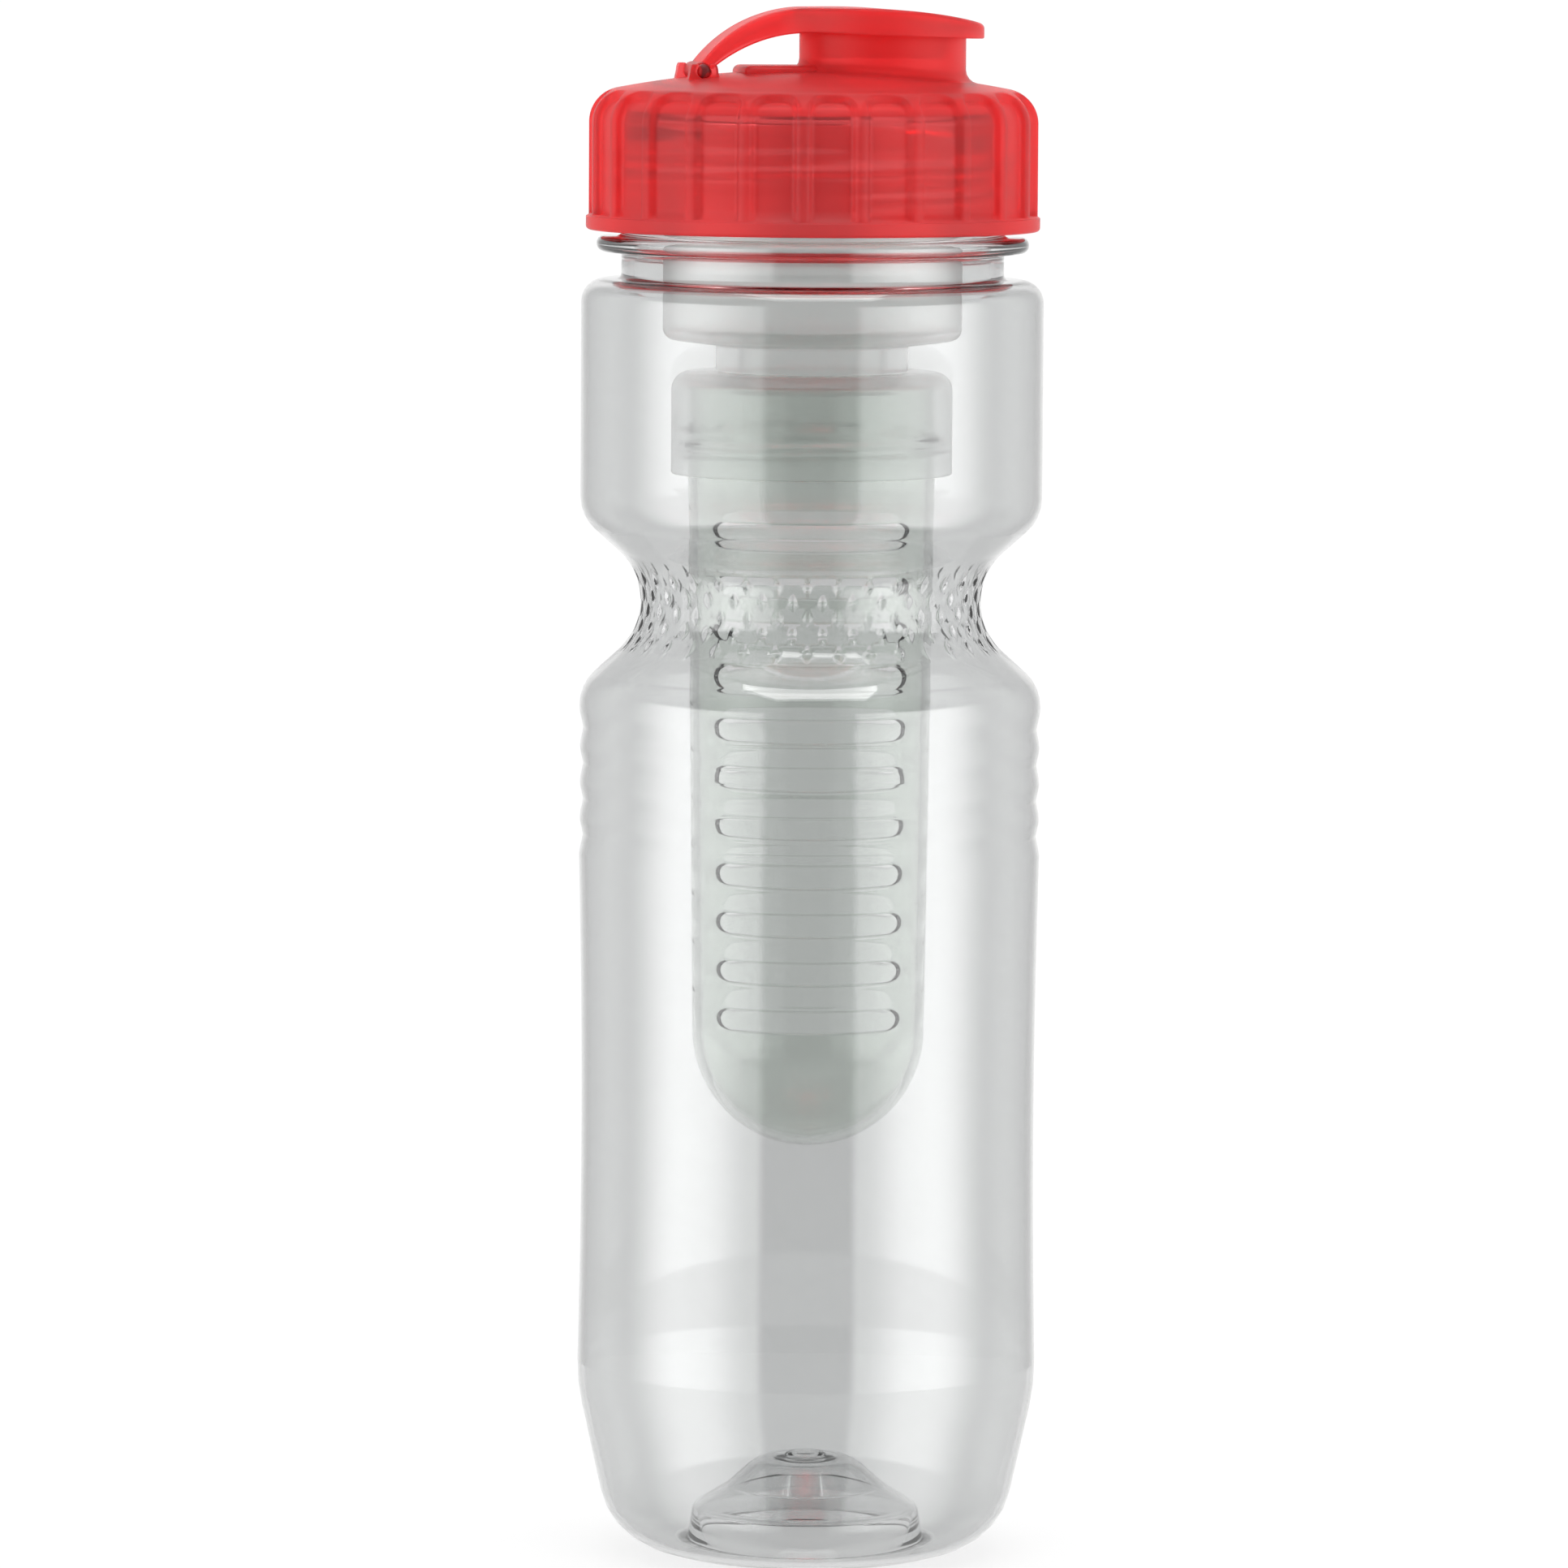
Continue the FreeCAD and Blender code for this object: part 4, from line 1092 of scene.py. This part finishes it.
band_shares = np.linspace(-1, 1, edge_top, endpoint=False) * math.pi / 2
band_angles = np.concatenate([band_shares, band_shares + math.pi]) + slot_turn - math.pi / 2
patch_top = slot_first + slot_pitch / 2
patch_low = slot_last - slot_pitch / 2
basket_inner = basket_r - basket_wall
rim_section = rounded_section([(basket_r, cap_base, 0), (basket_r, basket_top, rim_round),
                               (basket_inner, basket_top, rim_round), (basket_inner, cap_base, 0)])
upper_section = np.concatenate([[(tube_radius(patch_top, 0), patch_top)], rim_section,
                                [(tube_radius(patch_top, basket_wall), patch_top)]])
basket_zone = (cap_base + basket_thread_low, cap_base + basket_thread_high, infuser_step)
upper_section = densify(upper_section, longest_basket_run, [basket_zone])
outer_wall = upper_section[:, :1] > basket_r - SAME_PLACE
ridge = thread_swell(upper_section[:, 1:], band_angles, infuser_thread_z + infuser_pitch / 2, 0.0,
                     infuser_pitch, infuser_turns, infuser_root, infuser_crest, infuser_depth)
upper_grid = turned_grid(upper_section, band_angles, np.where(outer_wall, ridge, 0.0))


def round_end(wall):
    """The bottom band and the ball end on one skin, from the patches down to the tip."""
    fall = np.linspace(0, math.pi / 2, ball_rows)
    ball = arc(-fall, tip_r - wall, (0, ball_z))
    start = [(tube_radius(patch_low, wall), patch_low)]
    keep = ball[:, 1] < patch_low - SAME_PLACE
    return turned_grid(np.concatenate([start, ball[keep]]), band_angles)


print("rows above the slots:", len(upper_section))

# %% [markdown]
# An outer and an inner skin, joined along the slots and the rim, make the wall. All the patches and bands
# are poured into one mesh, and points in the same place become one, as Merge by Distance would do it.

# %% Join the basket's skins
def joined(name, grids):
    """One closed mesh from many grids that meet edge to edge: points in the same place become one.

    Where a row shrinks to a point, two corners of a face become one and the face is a triangle.
    """
    starts = np.cumsum([0] + [grid.shape[0] * grid.shape[1] for grid in grids])
    points = np.concatenate([grid.reshape(-1, 3) for grid in grids])
    quads = np.concatenate([quads_between(numbered(grid, start)) for grid, start in zip(grids, starts)])
    _, kept, numbers = np.unique(points.round(MERGE_DIGITS), axis=0, return_index=True, return_inverse=True)
    quads = numbers.reshape(-1)[quads]
    repeated = quads == np.roll(quads, -1, axis=1)
    pinched = repeated.any(axis=1)
    triangles = quads[pinched][~repeated[pinched]].reshape(-1, 3)
    return add_mesh(name, points[kept], [quads[~pinched], triangles])


grids = [upper_grid, round_end(0.0)[::-1], round_end(basket_wall)]
for facing in (0.0, math.pi):
    for index in range(slot_count):
        outer = slot_patch(index, facing, 0.0, 1)
        inner = slot_patch(index, facing, basket_wall, -1)
        grids += [outer, inner[::-1], np.stack([inner[0], outer[0]])]
basket = joined("basket_tube", grids)
settle(basket, "basket", "infuser_basket", clear_basket)

# %% [markdown]
# The camera stands about a metre and a half away, a little above the lid, with a long lens, and looks
# down slightly, which gives the flat ellipses of the lid and the base. It stands nine degrees to the
# hinge side of the bottle's front.

# %% Camera
IMAGE_SIDE = 1932
FOCAL_PIXELS = 11634
SENSOR_MM = 36.0
camera_distance, camera_height = 1490.0, 263.0
camera_swing, camera_pitch, camera_roll = math.radians(-9), math.radians(5.4), math.radians(0.345)
axis_pixels_right = 31.5

lens = bpy.data.cameras.new("camera")
lens.sensor_width = SENSOR_MM
lens.lens = SENSOR_MM * FOCAL_PIXELS / IMAGE_SIDE
lens.clip_end = 100.0
camera = placed("camera", lens)
aim_aside = math.atan2(axis_pixels_right, FOCAL_PIXELS)
turn = Matrix.Rotation(camera_swing + aim_aside, 4, "Z") @ Matrix.Rotation(math.pi / 2 - camera_pitch, 4, "X")
turn = turn @ Matrix.Rotation(camera_roll, 4, "Z")
stand = (camera_distance * math.sin(camera_swing) * MM, -camera_distance * math.cos(camera_swing) * MM,
         camera_height * MM)
camera.matrix_world = Matrix.Translation(stand) @ turn
bpy.context.scene.camera = camera
print("camera at", [round(v, 3) for v in stand], "lens", round(lens.lens, 1))

# %% [markdown]
# The bottle stands on a small pale disc. A grey floor would show through clear plastic as a dark zone, so
# it glows just enough to be as bright as the background, and still takes a faint shadow.

# %% Floor
floor_radius = 0.2
floor_grey, floor_roughness, floor_glow = 0.15, 0.9, 0.81
floor_points = 96

angles = even_turn(floor_points)
floor_edge = np.insert(arc(angles, floor_radius), 2, 0.0, axis=1)
floor_mesh = bpy.data.meshes.new("floor")
floor_mesh.from_pydata(floor_edge.tolist(), [], [list(range(floor_points))])
floor = placed("floor", floor_mesh)
floor_paint = bpy.data.materials.new("floor_paint")
floor_paint.use_nodes = True
fill(floor_paint.node_tree.nodes["Principled BSDF"], Base_Color=(floor_grey, floor_grey, floor_grey, 1),
     Roughness=floor_roughness, Emission_Color=(1, 1, 1, 1), Emission_Strength=floor_glow)
floor_mesh.materials.append(floor_paint)
floor.visible_glossy = False
print("floor", 2 * floor_radius, "m across")

# %% [markdown]
# Clear plastic shows what stands round it, so the light is large and soft. The world is a small studio,
# written as brightness by direction: a pale room that is dark behind the camera, and two tall softboxes
# in front, left and right, which make the long bright bands on the bottle. Light that only passes
# through the plastic meets a plain white backdrop instead, so the bottle looks clear from every side.

# %% Surround
world = bpy.data.worlds.new("surround")
world.use_nodes = True
nodes, links = world.node_tree.nodes, world.node_tree.links


def worked_out(operation, *values):
    """The output of a Math node whose inputs are other outputs or plain numbers."""
    node = nodes.new("ShaderNodeMath")
    node.operation = operation
    for socket, value in zip(node.inputs, values):
        if isinstance(value, (int, float)):
            socket.default_value = value
        else:
            links.new(value, socket)
    return node.outputs[0]


def soft_step(angle, low, high, before, after):
    """A brightness that goes softly from before to after as an angle goes from low to high degrees."""
    step = nodes.new("ShaderNodeMapRange")
    step.interpolation_type = "SMOOTHSTEP"
    fill(step, Value=angle, From_Min=math.radians(low), From_Max=math.radians(high),
         To_Min=before, To_Max=after)
    return step.outputs["Result"]


direction = nodes.new("ShaderNodeTexCoord")
from_camera = fill(nodes.new("ShaderNodeMapping"), Vector=direction.outputs["Generated"],
                   Rotation=(0, 0, -camera_swing))
parts = fill(nodes.new("ShaderNodeSeparateXYZ"), Vector=from_camera.outputs["Vector"])
toward_camera = worked_out("MULTIPLY", parts.outputs["Y"], -1.0)
aside = worked_out("ABSOLUTE", worked_out("ARCTAN2", parts.outputs["X"], toward_camera))
above = worked_out("ARCSINE", parts.outputs["Z"])

BACKDROP = 1.03
FRONT_LIGHT = 0.08
ONE_MIRROR = 0.5
room_steps = ((30, 95, 1.0), (122, 150, -0.35), (156, 169, 0.30))
box_steps = ((21, 27, 1.7), (25, 55, 2.2), (66, 106, -3.9))
BOX_TOP = (20, 26)
BOX_FOOT = (-52, -38)


def summed(steps):
    """Adds up soft steps (from, to, change) over the angle aside from the camera."""
    total = 0.0
    for low, high, change in steps:
        total = worked_out("ADD", soft_step(aside, low, high, 0.0, change), total)
    return total


room = worked_out("ADD", summed(room_steps), FRONT_LIGHT)
boxes = worked_out("MULTIPLY", summed(box_steps), soft_step(above, *BOX_TOP, 1.0, 0.0))
boxes = worked_out("MULTIPLY", boxes, soft_step(above, *BOX_FOOT, 0.0, 1.0))
studio = worked_out("ADD", room, boxes)
ray = nodes.new("ShaderNodeLightPath")
seen_through = worked_out("MAXIMUM", ray.outputs["Is Camera Ray"], ray.outputs["Is Transmission Ray"])
never_mirrored = worked_out("LESS_THAN", ray.outputs["Glossy Depth"], ONE_MIRROR)
to_backdrop = worked_out("MULTIPLY", worked_out("MULTIPLY", seen_through, never_mirrored),
                         worked_out("SUBTRACT", BACKDROP, studio))
fill(nodes["Background"], Color=(1, 1, 1, 1), Strength=worked_out("ADD", studio, to_backdrop))
bpy.context.scene.world = world
print("world nodes:", len(nodes))

# %% [markdown]
# A wide lamp overhead lights the lid's top and lays a soft shadow on the floor. Colours are shown as they
# are, without a film look, because the photograph's white is plain white. Light crosses up to a dozen
# walls on its way through bottle and basket and bends at both faces of each, so it may bend two dozen
# times.

# %% Overhead softbox
lamp_size, lamp_power, lamp_place = 0.8, 10.0, (0.0, -0.2, 1.3)
most_bends = 24

overhead = bpy.data.lights.new("overhead", "AREA")
overhead.shape = "SQUARE"
overhead.size = lamp_size
overhead.energy = lamp_power
overhead_lamp = placed("overhead", overhead)
overhead_lamp.location = lamp_place
bpy.context.scene.view_settings.view_transform = "Standard"
bpy.context.scene.cycles.max_bounces = most_bends
bpy.context.scene.cycles.transmission_bounces = most_bends
print("lamp at", lamp_place)
